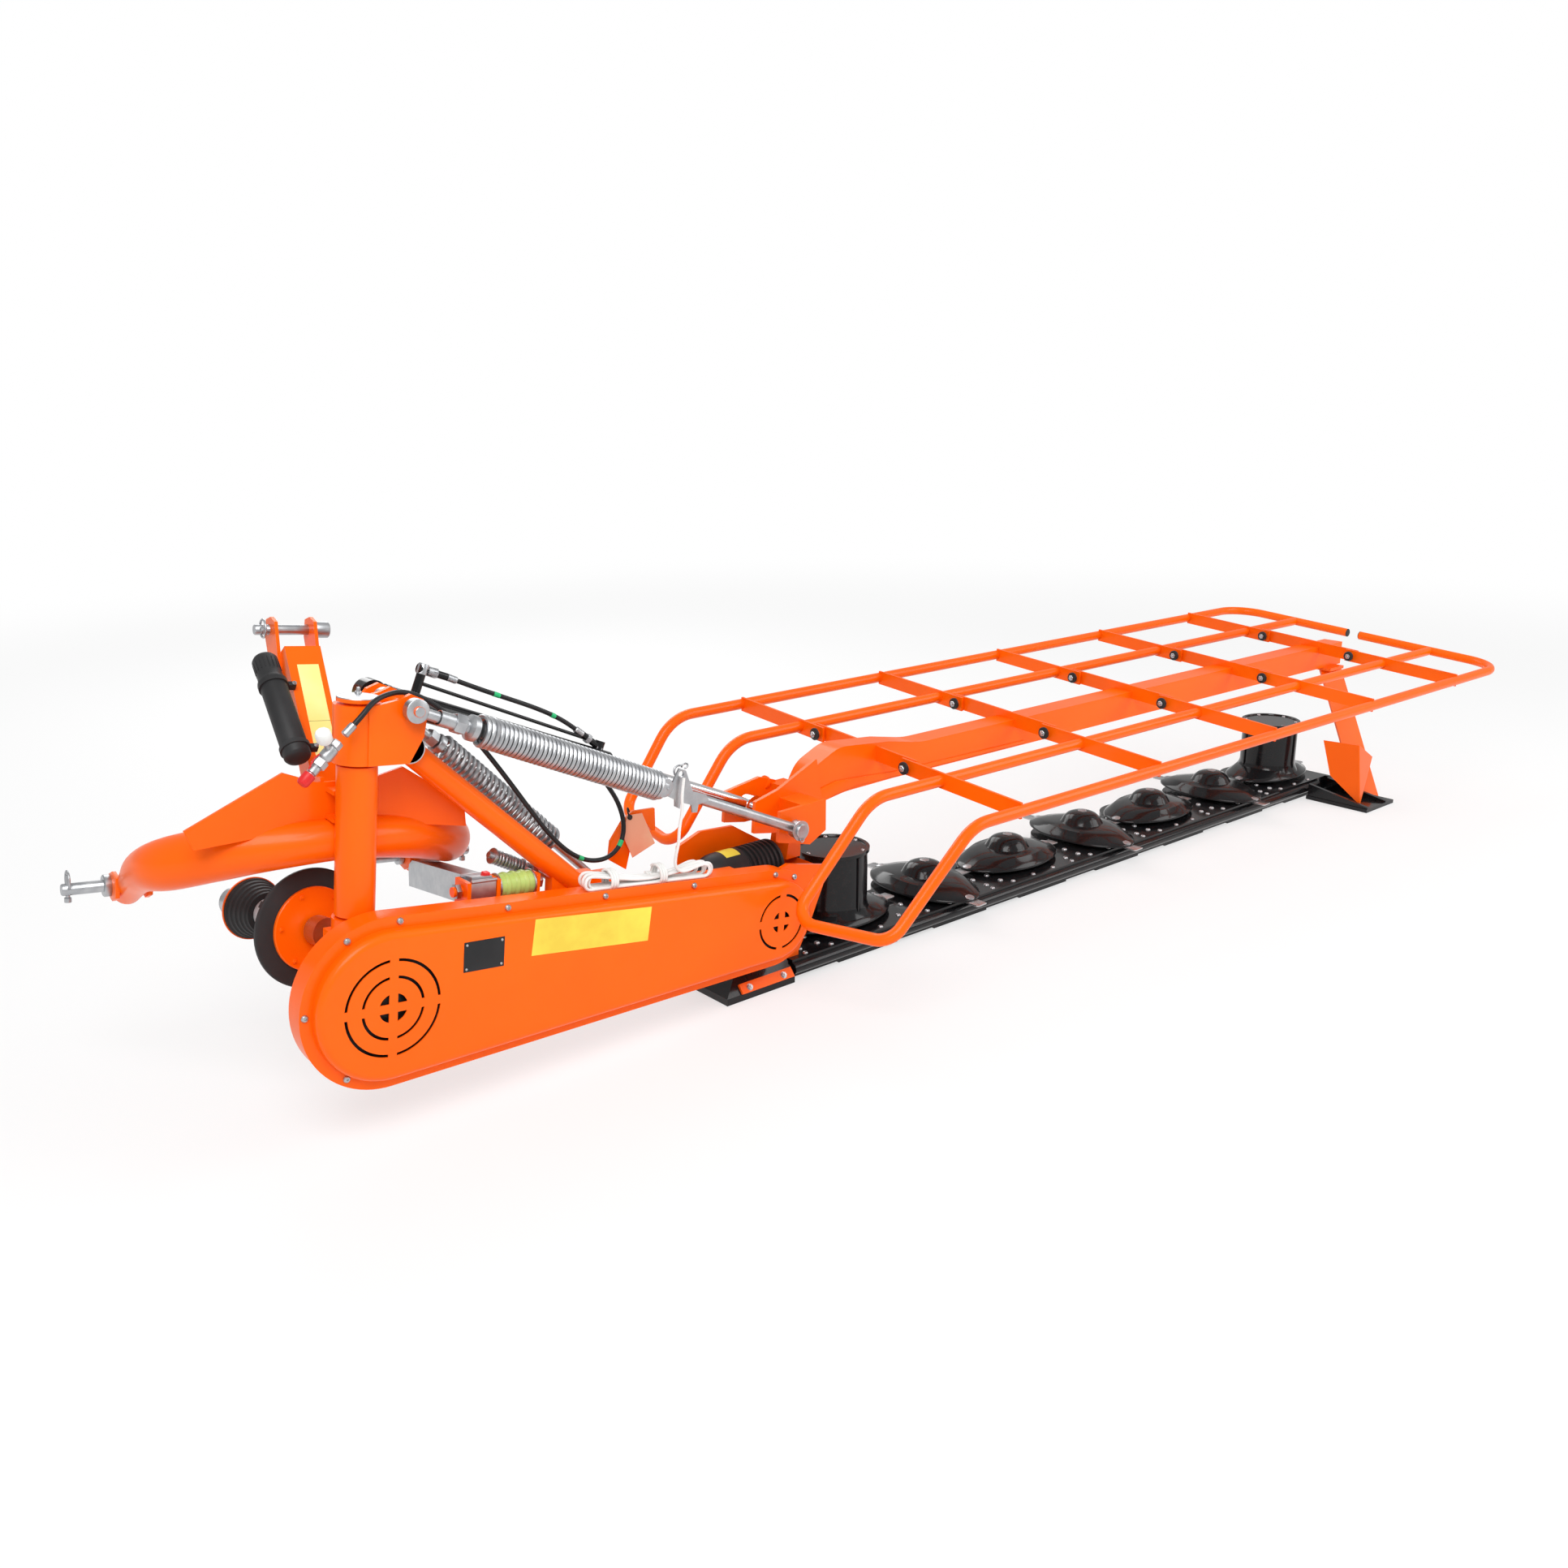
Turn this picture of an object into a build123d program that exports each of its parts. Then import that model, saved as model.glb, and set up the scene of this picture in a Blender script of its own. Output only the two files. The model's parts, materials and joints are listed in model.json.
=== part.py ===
from build123d import *
import math
import os

# Seven-disc rear-mounted mower, in millimetres, +X towards the outer end of
# the cutter bar, +Y the way the tractor travels, +Z up, standing on Z = 0.

# Cutter bar
disc_count = 7
disc_pitch = 400.0            # between neighbouring disc axes
first_disc_x = -400.0         # axis of the inner disc
bar_top_z = 60.0              # upper face of the gear bed
bar_wall = 8.0                # gap under the bed that its skids fill
bar_rear_y = -166.0
bar_front_y = 96.0
bar_inner_x = -702.0
bar_outer_x = 2168.0
bar_tube_r = 17.0             # half-round edge along the bed's rear
nose_reach = 188.0            # stone guards' reach in front of the disc axes
disc_long = 205.0             # half length of an oval disc
disc_short = 132.0            # half width
disc_floor_z = 74.0           # underside of a disc's rim
disc_sheet = 6.0
dome_r = 118.0
dome_low = 34.0               # height of the dome's lower flank
dome_top_z = 152.0
blade_bolt_r = 190.0
blade_reach = 250.0           # blade tip from the disc's axis
blade_width = 44.0
blade_sheet = 5.0
drum_r = 106.0                # tall drums on the end discs
drum_top_z = 290.0
spindle_r = 38.0
spindle_top_z = 104.0
spindle_pin_r = 20.0

# Lift hinge, along Y, and the carrier that hangs on it
hinge_x = -814.0
hinge_z = 230.0
carrier_tilt = 6.2            # degrees that the carrier stands up from level
hub_r = 62.0
pivot_r = 40.0
running_gap = 0.05            # radial clearance of a turning pin
plate_gap = 6.0               # between faces that swing past each other

# Belt guard, in the carrier's own upright frame
guard_face_y = -250.0
guard_back_y = -153.0
flange_y = -214.0
pulley_span = 1118.0
pulley_drop = 30.0
big_face_r = 172.0
small_face_r = 110.0
flange_width = 27.0
flange_sheet = 4.0
shoulder_r = 16.0             # rounded shoulder of the pressing
guard_wall = 3.0
vent_slot = 7.0               # width of the vents' arc slots
vent_bridge = 20.0            # bars left between the slots

# Post, swing housing and beam
post_u = -1141.0
post_y = -96.0
post_r = 44.5
post_pin_r = 30.0
post_top_w = 484.0
housing_r = 53.0
housing_low_w = 490.0
housing_top_w = 619.0
beam_low = 28.0
beam_high = 108.0
beam_rear_y = -128.0
beam_width = 72.0
beam_inner_u = -1196.0

# Ears' axis on the swing housing, where the cylinder and springs hang
ear_u = -1045.0
ear_w = 612.0
ear_r = 29.0
ear_sheet = 12.0
ear_pin_r = 12.0
near_ear_y = -152.0           # rear face of each ear plate
mid_ear_y = -52.0
far_ear_y = 5.0
strut_u = ear_u + 9.0         # the strut's boss between the ears, under their axis
strut_w = ear_w - 92.0

# Headstock, in its own frame about the post: p across, q forward, w up
headstock_yaw = -3.5
hitch_q = 488.0
hitch_w = 118.0
hitch_half = 412.5            # half the spread between the lower pins' shoulders
lower_pin_r = 14.0
lower_pin_out = 88.0
lower_pin_in = 92.0
arm_p = 356.0
arm_r = 47.0
arm_wall = 8.0
top_pin_q = 395.0
top_pin_w = 716.0
top_pin_r = 12.5
mast_foot_q = 176.0
mast_foot_w = 400.0
mast_width = 84.0
mast_depth = 64.0

# Drive shaft and its shields, in the headstock's frame
shaft_rear = (-47.0, 133.0, 76.0)
shaft_front = (-100.0, 400.0, 52.0)
shaft_r = 20.0
sleeve_r = 36.0
cone_r = 139.0
cone_deep = 104.0
collar_r = 76.0
yoke_reach = 92.0

# Boom and hoops
boom_rear_y = -28.0
boom_width = 80.0
boom_high = 92.0
boom_top_z = 556.0
boom_overhang = 186.0         # past the last rib
hoop_plane_z = 556.0          # height of the hoops over the discs' axes
hoop_slope = 0.0745           # rise per millimetre towards the front
tube_r = 16.8
rib_x = -252.0                # first cross rib
rib_pitch = 629.5
rib_count = 5
boom_outer_x = rib_x + (rib_count - 1) * rib_pitch + boom_overhang
rib_sheet = 8.0
rib_high = 46.0
rib_gap = 7.0                 # between a rib and the arm that carries it
front_tube_y = 588.0
front_inner_y = 298.0
rear_inner_y = -307.0
rear_tube_y = -600.0
front_pivot_y = 213.0
rear_pivot_y = -172.0
hoop_outer_x = 2640.0
hoop_bolt_r = 10.0

# Lift cylinder and relief link
cylinder_y = 52.0
eye_half = 18.0
barrel_r = 30.0
elbow_reach = 36.0
barrel_end = 690.0            # along the cylinder from its base pin
rod_r = 17.0
lift_pin_x = -669.0
lift_pin_z = 458.0
link_y = -176.0
link_eye_half = 12.0
link_pin_x = -692.0
link_pin_z = 447.0
link_coil = (164.0, 694.0)    # ends of its spring along the link
coil_r = 33.0
wire_r = 5.5

# Hoses and the trip rope
hose_d = 12.0
rope_d = 8.0
hank_r = 12.0

os.makedirs("parts", exist_ok=True)


def turned(point, angle):
    """A point of a tilted frame, turned about Y so that -X rises."""
    c, s = math.cos(math.radians(angle)), math.sin(math.radians(angle))
    x, y, z = point
    return (c * x + s * z, y, c * z - s * x)


carrier_place = Location((hinge_x, 0, hinge_z), (0, carrier_tilt, 0))
post_place = carrier_place * Location((post_u, post_y, 0), (0, 0, headstock_yaw))
finished = []


def finish(piece, label, place=Location()):
    """Put a piece of a tilted frame in its place and keep it for writing."""
    solid = piece.part.moved(place)
    solid.label = label
    finished.append(solid)


def side_plane(y):
    """A sketch plane facing the rear: its X is +X and its Y is +Z."""
    return Plane(origin=(0, y, 0), x_dir=(1, 0, 0), z_dir=(0, -1, 0))


def end_plane(x):
    """A sketch plane facing outward along X: its X is +Y and its Y is +Z."""
    return Plane(origin=(x, 0, 0), x_dir=(0, 1, 0), z_dir=(1, 0, 0))


def slab(outline, y, thickness, holes=()):
    """A plate of the running builder, its rear face at y, from points in X and Z."""
    with BuildSketch(side_plane(y)) as face:
        with BuildLine():
            Polyline(*outline, close=True)
        make_face()
        for x, z, r in holes:
            with Locations((x, z)):
                Circle(r, mode=Mode.SUBTRACT)
    extrude(face.sketch, amount=-thickness)


def cross_slab(outline, x, thickness):
    """A plate of the running builder, its inner face at x, from points in Y and Z."""
    with BuildSketch(end_plane(x)) as face:
        with BuildLine():
            Polyline(*outline, close=True)
        make_face()
    extrude(face.sketch, amount=thickness)


def block(low, high, mode=Mode.ADD):
    """A box of the running builder between two corners."""
    middle = [(a + b) / 2 for a, b in zip(low, high)]
    with Locations(tuple(middle)):
        Box(high[0] - low[0], high[1] - low[1], high[2] - low[2], mode=mode)


def rod(start, end, radius, mode=Mode.ADD):
    """A round bar of the running builder between two points."""
    along = Vector(*end) - Vector(*start)
    with BuildSketch(Plane(origin=start, z_dir=along)) as section:
        Circle(radius)
    extrude(section.sketch, amount=along.length, mode=mode)


def flare(start, end, start_r, end_r, mode=Mode.ADD):
    """A round bar of the running builder whose radius changes along it."""
    along = Vector(*end) - Vector(*start)
    add(Solid.make_cone(start_r, end_r, along.length, Plane(origin=start, z_dir=along)), mode=mode)


def pipe(points, bends, radius, mode=Mode.ADD):
    """A round bar of the running builder: straight runs joined by round bends."""
    corners = [Vector(*point) for point in points]
    start = corners[0]
    for before, corner, after, bend in zip(corners, corners[1:], corners[2:], bends):
        arrive, leave = (corner - before).normalized(), (after - corner).normalized()
        turn = arrive.get_angle(leave)
        reach = bend * math.tan(math.radians(turn) / 2)
        rod(start, corner - arrive * reach, radius, mode)
        normal = arrive.cross(leave).normalized()
        middle = corner - arrive * reach + normal.cross(arrive) * bend
        with BuildSketch(Plane(origin=corner - arrive * reach, z_dir=arrive)) as section:
            Circle(radius)
        revolve(section.sketch, axis=Axis(middle, normal), revolution_arc=turn, mode=mode)
        start = corner + leave * reach
    rod(start, corners[-1], radius, mode)


def cord(points, diameter):
    """A hose or rope of the running builder through chosen points, its bends as large as they allow."""
    bends = []
    for before, corner, after in zip(points, points[1:], points[2:]):
        arrive, leave = Vector(*corner) - Vector(*before), Vector(*after) - Vector(*corner)
        shorter = min(arrive.length, leave.length)
        bends.append(0.45 * shorter / math.tan(math.radians(arrive.get_angle(leave)) / 2))
    pipe(points, bends, diameter / 2)
    span = sum((Vector(*b) - Vector(*a)).length for a, b in zip(points, points[1:]))
    print("cord of", round(span), "mm, least bend", round(min(bends)), "mm")


def coil(start, end, mean_r, thickness, turns):
    """A coil spring drawn as rings round a core as wide as its middle line."""
    along = Vector(*end) - Vector(*start)
    profile = [(0, 0), (mean_r, 0)]
    for turn in range(turns):
        low, high = turn / turns, (turn + 1) / turns
        for share, reach in ((0.15, 0.0), (0.35, thickness), (0.65, thickness), (0.85, 0.0)):
            profile.append((mean_r + reach, (low + share * (high - low)) * along.length))
    profile += [(mean_r, along.length), (0, along.length)]
    across = Vector(0, 1, 0) if abs(along.Y) < abs(along.X) else Vector(1, 0, 0)
    with BuildSketch(Plane(origin=start, x_dir=across, z_dir=across.cross(along))) as half:
        with BuildLine():
            Polyline(*profile, close=True)
        make_face()
    revolve(half.sketch, axis=Axis(start, along))


def hoop_z(y):
    return hoop_plane_z + hoop_slope * y


# Gear bed, with a stone guard in front of each disc
with BuildPart() as gear_bed:
    block((bar_inner_x, bar_rear_y, bar_wall), (bar_outer_x, bar_front_y, bar_top_z))
    with BuildSketch(Plane.XY.offset(bar_wall + 10)) as noses:
        for k in range(disc_count):
            with Locations((first_disc_x + k * disc_pitch, bar_front_y)):
                Ellipse(112, nose_reach - bar_front_y)
    extrude(noses.sketch, amount=30)
    rod((bar_inner_x, bar_rear_y, 34), (bar_outer_x - 60, bar_rear_y, 34), bar_tube_r)
    for k in range(disc_count):
        x = first_disc_x + k * disc_pitch
        rod((x, 0, bar_top_z - 1), (x, 0, disc_floor_z - 6.5), spindle_r)
        rod((x, 0, bar_top_z), (x, 0, spindle_top_z), spindle_pin_r)
finish(gear_bed, "gear_bed")

# Skids under the bed, one below each disc
with BuildPart() as bed_skids:
    for k in range(disc_count):
        x = first_disc_x + k * disc_pitch
        block((x - 120, bar_rear_y + 4, 0), (x + 120, bar_front_y, bar_wall))
        block((x - 96, bar_front_y, 0), (x + 96, bar_front_y + 60, 18))
finish(bed_skids, "bed_skids")

# Discs: an oval pressing with a domed middle, alternate ones a quarter turn on
for k in range(disc_count):
    has_drum = k in (0, disc_count - 1)
    with BuildPart() as disc:
        with BuildSketch(Plane.XY.offset(disc_floor_z)) as oval:
            Ellipse(disc_long, disc_short)
        extrude(oval.sketch, amount=disc_sheet, taper=30)
        flare((0, 0, disc_floor_z + disc_sheet), (0, 0, disc_floor_z + disc_sheet + dome_low), dome_r, 84)
        if has_drum:
            rod((0, 0, disc_floor_z + 30), (0, 0, drum_top_z), drum_r)
            rod((0, 0, drum_top_z - 8), (0, 0, drum_top_z), drum_r + 6)
        else:
            flare((0, 0, disc_floor_z + disc_sheet + dome_low), (0, 0, dome_top_z), 76, 40)
        for side in (-1, 1):
            with BuildSketch(Plane.XY.offset(disc_floor_z - blade_sheet)) as blade:
                with Locations((side * (blade_bolt_r + blade_reach - blade_width) / 2, 0)):
                    SlotOverall(blade_reach - blade_bolt_r + blade_width, blade_width)
            extrude(blade.sketch, amount=blade_sheet)
        rod((0, 0, bar_top_z), (0, 0, spindle_top_z + 1), spindle_pin_r + running_gap, mode=Mode.SUBTRACT)
    quarter = 90 * (k % 2)
    finish(disc, f"disc_{k + 1}", Location((first_disc_x + k * disc_pitch, 0, 0), (0, 0, quarter)))

# Inner skid, a black box under the lift hinge, its rear flank leaning forward
skid_inner_x = -950.0
skid_outer_x = bar_inner_x - 6
with BuildPart() as inner_skid:
    with BuildSketch(Plane.XY) as sole:
        with Locations(((skid_inner_x + skid_outer_x) / 2, -30)):
            Rectangle(skid_outer_x - skid_inner_x, 306)
    extrude(sole.sketch, amount=20)
    with BuildSketch(Plane.XY.offset(20)) as low_edge:
        with Locations(((skid_inner_x + skid_outer_x) / 2, -30)):
            Rectangle(skid_outer_x - skid_inner_x, 306)
    with BuildSketch(Plane.XY.offset(bar_top_z)) as high_edge:
        with Locations(((skid_inner_x + 50 + skid_outer_x) / 2, -20)):
            Rectangle(skid_outer_x - skid_inner_x - 50, 256)
    loft([low_edge.sketch, high_edge.sketch])
finish(inner_skid, "inner_skid")

with BuildPart() as skid_bracket:
    with BuildSketch(end_plane(-900)) as angle_face:
        with BuildLine():
            Polyline((-183, 20), (-165.5, 41), (-171, 46), (-190, 23), close=True)
        make_face()
    extrude(angle_face.sketch, amount=186)
finish(skid_bracket, "skid_bracket")

# Hinge box, welded from two side plates and cross plates, open at the top
fork_rear_y = -146.0
fork_front_y = 96.0
fork_sheet = 12.0
rear_outline = (
    (-905, 60), (-668, 60), (-612, 160), (-545, 296), (-560, 306), (-700, 340), (-740, 330),
    (-880, 312), (-905, 270),
)
front_outline = (
    (-905, 60), (-668, 60), (-612, 160), (-545, 296), (-650, 360), (-700, 392), (-820, 400),
    (-897, 372), (-905, 300),
)
with BuildPart() as hinge_box:
    slab(rear_outline, fork_rear_y, fork_sheet, holes=((hinge_x, hinge_z, pivot_r),))
    slab(front_outline, fork_front_y, fork_sheet, holes=((hinge_x, hinge_z, pivot_r),))
    block((-905, fork_rear_y, bar_top_z), (-662, fork_front_y + fork_sheet, bar_top_z + 12))
    slab(((-622, 160), (-611, 160), (-550, 290), (-560, 296)), fork_rear_y, fork_front_y - fork_rear_y)
finish(hinge_box, "hinge_box")

with BuildPart() as hinge_tube:
    with BuildSketch(side_plane(fork_rear_y - 1)) as ring:
        with Locations((hinge_x, hinge_z)):
            Circle(pivot_r)
            Circle(pivot_r - 12, mode=Mode.SUBTRACT)
    extrude(ring.sketch, amount=-(fork_front_y + fork_sheet - fork_rear_y + 1))
finish(hinge_tube, "hinge_tube")

# Bevel gearbox inside the hinge box and the cover over it
gearbox_rear_y = -49.0
gearbox_front_y = 90.0
cover_mid_y = 18.0
cover_axis_z = 290.0
cover_r = 66.0
with BuildPart() as gearbox:
    block((-868, gearbox_rear_y, bar_top_z + 12), (-706, gearbox_front_y, cover_axis_z - 34))
    rod((hinge_x, gearbox_rear_y, hinge_z), (hinge_x, gearbox_front_y, hinge_z), pivot_r, mode=Mode.SUBTRACT)
finish(gearbox, "gearbox")

with BuildPart() as gearbox_cover:
    rod((-826, cover_mid_y, cover_axis_z), (-628, cover_mid_y, cover_axis_z), cover_r)
    with Locations((-826, cover_mid_y, cover_axis_z)):
        Sphere(cover_r)
    block((-900, -60, 200), (-600, 100, cover_axis_z - 34), mode=Mode.SUBTRACT)
    rod((hinge_x, -60, hinge_z), (hinge_x, 100, hinge_z), pivot_r, mode=Mode.SUBTRACT)
finish(gearbox_cover, "gearbox_cover")

# Boom: a box beam that rises from the hinge box, bends over and runs outward
boom_line = (                 # x, z, radius of the bend there
    (-606, 300, 0), (-552, 300, 0), (-548, 434, 60), (-377, 460, 300), (-180, boom_top_z - boom_high, 0),
    (boom_outer_x, boom_top_z - boom_high, 0), (boom_outer_x, boom_top_z, 0), (-60, boom_top_z, 300),
    (-200, 582, 0), (-400, 600, 120), (-500, 556, 90), (-578, 430, 0),
)
with BuildPart() as boom:
    slab([(x, z) for x, z, bend in boom_line], boom_rear_y, boom_width)
    for x, z, bend in boom_line:
        if bend:
            upright = boom.edges().filter_by(Axis.Y)
            fillet(upright.sort_by(lambda edge: (edge.center() - Vector(x, boom_rear_y + boom_width / 2, z)).length)[0], bend)
finish(boom, "boom")

# Bracket on the boom's root, open round the cylinder's rod and the link's tube
near_cheek = ((-606, 400), (-660, 396), (-735, 410), (-728, 500), (-644, 520), (-500, 584), (-480, 460))
far_cheek = ((-560, 396), (-660, 396), (-735, 410), (-728, 500), (-600, 520), (-540, 500))
lug = ((-735, 410), (-620, 380), (-560, 410), (-560, 500), (-728, 496))
with BuildPart() as boom_bracket:
    slab(near_cheek, boom_rear_y - 12, 12)
    slab(far_cheek, cylinder_y + 42, 12)
    block((-560, boom_rear_y + boom_width, 436), (-500, cylinder_y + 54, 496))
    slab(lug, fork_rear_y, fork_sheet)
    block((-640, fork_rear_y + fork_sheet, 420), (-566, boom_rear_y - 12, 496))
finish(boom_bracket, "boom_bracket")

# Hoop arms bolted across the boom, with the hoops' pivot bolts
with BuildPart() as boom_arms:
    for k in range(rib_count):
        x = rib_x + k * rib_pitch
        arm = []
        for y, side in ((-194, -1), (235, -1), (235, 1), (-194, 1)):
            arm.append((y, hoop_z(y) + side * 0.5 * rib_high))
        cross_slab(arm, x, rib_sheet)
        for y in (rear_pivot_y, front_pivot_y):
            rod((x - rib_gap - rib_sheet - 8, y, hoop_z(y)), (x + rib_sheet + 10, y, hoop_z(y)), hoop_bolt_r)
    add(boom.part, mode=Mode.SUBTRACT)
finish(boom_arms, "boom_arms")

# Outer end: shoe with its trailing arm, leg up to the boom, swath deflector
with BuildPart() as outer_shoe:
    block((bar_outer_x, -190, 0), (bar_outer_x + 18, 150, 60))
    block((1996, -440, 0), (2204, -186, 14))
    cross_slab(((-190, 0), (-440, 0), (-440, 20), (-190, 62)), 2140, 14)
    cross_slab(((-190, 0), (-440, 0), (-440, 20), (-190, 62)), 2000, 14)
finish(outer_shoe, "outer_shoe")

with BuildPart() as outer_leg:
    leg_foot, leg_top = Vector(2180, -345, 6), Vector(2372, -30, 452)
    with BuildSketch(Plane(origin=leg_foot, x_dir=(0.55, 0.8, -0.86), z_dir=leg_top - leg_foot)) as leg_face:
        Rectangle(12, 90)
    extrude(leg_face.sketch, amount=(leg_top - leg_foot).length)
    add(outer_shoe.part, mode=Mode.SUBTRACT)
    block((2320, -60, boom_top_z - boom_high - 12), (2424, 44, boom_top_z - boom_high))
finish(outer_leg, "outer_leg")

fold_foot, fold_top = Vector(2040, -385, 14), Vector(2062, -345, 240)
wings = (
    (Vector(2014, -225, 246), Vector(2014, -268, 112), 4.0),
    (Vector(2190, -338, 170), None, -4.0),
)
with BuildPart() as deflector:
    for tip, heel, sheet in wings:
        wing_plane = Plane(origin=fold_foot, x_dir=fold_top - fold_foot, z_dir=(fold_top - fold_foot).cross(tip - fold_foot))
        outline = [fold_foot, fold_top, tip] + ([heel] if heel else [])
        with BuildSketch(wing_plane) as wing:
            with BuildLine():
                Polyline(*[tuple(wing_plane.to_local_coords(corner))[:2] for corner in outline], close=True)
            make_face()
        extrude(wing.sketch, amount=sheet)
    rod(fold_foot, fold_top, 4.0)
    add(outer_shoe.part, mode=Mode.SUBTRACT)
finish(deflector, "deflector")

# Hoops: four long tubes over the discs, looped at the inner end, with cross ribs
inner_loops = {
    "front": ((front_tube_y, -550, -742, 330), (front_inner_y, -540, -764, 292)),
    "rear": ((rear_tube_y, -455, -752, 262), (rear_inner_y, -540, -829, 254)),
}
cap_y = {"front": 52.0, "rear": -5.0}
for end, ((out_y, out_x, out_foot_x, out_foot_z), (in_y, in_x, in_foot_x, in_foot_z)) in inner_loops.items():
    with BuildPart() as hoop_tubes:
        pipe(
            (
                (hoop_outer_x, cap_y[end], hoop_z(cap_y[end])), (hoop_outer_x, out_y, hoop_z(out_y)),
                (out_x, out_y, hoop_z(out_y)), (out_foot_x, out_y, out_foot_z), (in_foot_x, in_y, in_foot_z),
                (in_x, in_y, hoop_z(in_y)), (hoop_outer_x - 1, in_y, hoop_z(in_y)),
            ),
            (130, 150, 60, 60, 150), tube_r,
        )
    finish(hoop_tubes, f"{end}_hoop_tubes")

for end, pivot_y, inner_y, out_y in (
    ("front", front_pivot_y, front_inner_y, front_tube_y),
    ("rear", rear_pivot_y, rear_inner_y, rear_tube_y),
):
    side = math.copysign(1, out_y)
    with BuildPart() as hoop_ribs:
        for k in range(rib_count):
            x = rib_x + k * rib_pitch - rib_gap - rib_sheet
            rib = []
            for y, edge in ((pivot_y - side * 22, -1), (out_y, -1), (out_y, 1), (pivot_y - side * 22, 1)):
                rib.append((y, hoop_z(y) + edge * 0.5 * rib_high))
            cross_slab(rib, x, rib_sheet)
            bolt_z = hoop_z(pivot_y)
            rod((x - 1, pivot_y, bolt_z), (x + 9, pivot_y, bolt_z), hoop_bolt_r + running_gap, mode=Mode.SUBTRACT)
            for y in (out_y, inner_y):
                rod((x - 1, y, hoop_z(y)), (x + 9, y, hoop_z(y)), tube_r, mode=Mode.SUBTRACT)
    finish(hoop_ribs, f"{end}_hoop_ribs")

# Carrier: hub on the lift hinge with the beam back to the post
with BuildPart() as carrier_beam:
    rod((0, beam_rear_y, 0), (0, beam_rear_y + beam_width, 0), hub_r)
    block((beam_inner_u, beam_rear_y, beam_low), (-34, beam_rear_y + beam_width, beam_high))
    rod((0, -200, 0), (0, 20, 0), pivot_r + running_gap, mode=Mode.SUBTRACT)
    rod((post_u, post_y, beam_low - 4), (post_u, post_y, 140), 50)
    rod((post_u, post_y, -10), (post_u, post_y, 160), post_pin_r + running_gap, mode=Mode.SUBTRACT)
finish(carrier_beam, "carrier_beam", carrier_place)

ear_crown = (
    (ear_u + 33, ear_w - 64), (ear_u + 41, ear_w - 8), (ear_u + 29, ear_w + 20),
    (ear_u, ear_w + 32), (ear_u - 29, ear_w + 20),
)
ear_plate = ((post_u, housing_low_w), (ear_u, ear_w - 122), *ear_crown, (post_u, housing_top_w))
far_plate = ((ear_u - 53, ear_w - 92), (ear_u, ear_w - 112), *ear_crown, (ear_u - 53, ear_w - 12))
with BuildPart() as swing_housing:
    rod((post_u, post_y, housing_low_w), (post_u, post_y, housing_top_w), housing_r)
    for y, outline in ((near_ear_y, ear_plate), (mid_ear_y, ear_plate), (far_ear_y, far_plate)):
        slab(outline, y, ear_sheet)
    block((ear_u - 51, mid_ear_y + 2, ear_w - 88), (ear_u - 35, far_ear_y + 2, ear_w - 16))
    bore_low, bore_high = (post_u, post_y, housing_low_w - 90), (post_u, post_y, housing_top_w + 81)
    rod(bore_low, bore_high, post_pin_r + running_gap, mode=Mode.SUBTRACT)
    rod((ear_u, link_y - 20, ear_w), (ear_u, cylinder_y + 30, ear_w), ear_pin_r)
finish(swing_housing, "swing_housing", carrier_place)

with BuildPart() as strut:
    rod((strut_u, post_y, strut_w), (-557, post_y, 134), 29)
    rod((strut_u, near_ear_y + ear_sheet, strut_w), (strut_u, mid_ear_y, strut_w), 31)
    block((-640, -112, beam_high), (-520, -80, 170))
finish(strut, "strut", carrier_place)

# Belt guard: a pressed cover over the drive case, both round two pulleys
guard_slope = math.degrees(math.atan2(pulley_drop, pulley_span))
guard_ends = (                # u, w, face radius of the pulley's end, slot rings' radii, middle holes' radius
    (-pulley_span, -pulley_drop, big_face_r, (110.0, 71.0), 34.0),
    (0.0, 0.0, small_face_r, (74.0,), 30.0),
)
with BuildPart() as belt_guard_cover:
    with BuildSketch(side_plane(guard_face_y)) as pressing:
        for u, w, face_r, rings, middle_r in guard_ends:
            with Locations((u, w)):
                Circle(face_r)
        make_hull()
    extrude(pressing.sketch, amount=-(flange_y - guard_face_y))
    fillet(belt_guard_cover.faces().sort_by(Axis.Y)[0].edges(), shoulder_r)
    with BuildSketch(side_plane(flange_y - flange_sheet)) as flange:
        for u, w, face_r, rings, middle_r in guard_ends:
            with Locations((u, w)):
                Circle(face_r + flange_width)
        make_hull()
    extrude(flange.sketch, amount=-flange_sheet)
    with BuildSketch(side_plane(guard_face_y + guard_wall)) as hollow:
        for u, w, face_r, rings, middle_r in guard_ends:
            with Locations((u, w)):
                Circle(face_r - 10)
        make_hull()
    extrude(hollow.sketch, amount=-(flange_y - guard_face_y - guard_wall), mode=Mode.SUBTRACT)
    with BuildSketch(side_plane(guard_face_y - 1)) as vents:
        for u, w, face_r, rings, middle_r in guard_ends:
            with Locations((u, w)):
                for ring_r in rings:
                    Circle(ring_r + vent_slot / 2)
                    Circle(ring_r - vent_slot / 2, mode=Mode.SUBTRACT)
        for u, w, face_r, rings, middle_r in guard_ends:
            with Locations((u, w)):
                Circle(middle_r)
        for u, w, face_r, rings, middle_r in guard_ends:
            with Locations((u, w)):
                Rectangle(2 * face_r, vent_bridge, mode=Mode.SUBTRACT)
                Rectangle(vent_bridge, 2 * face_r, mode=Mode.SUBTRACT)
    extrude(vents.sketch, amount=-(guard_wall + 2), mode=Mode.SUBTRACT)
finish(belt_guard_cover, "belt_guard_cover", carrier_place)

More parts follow.
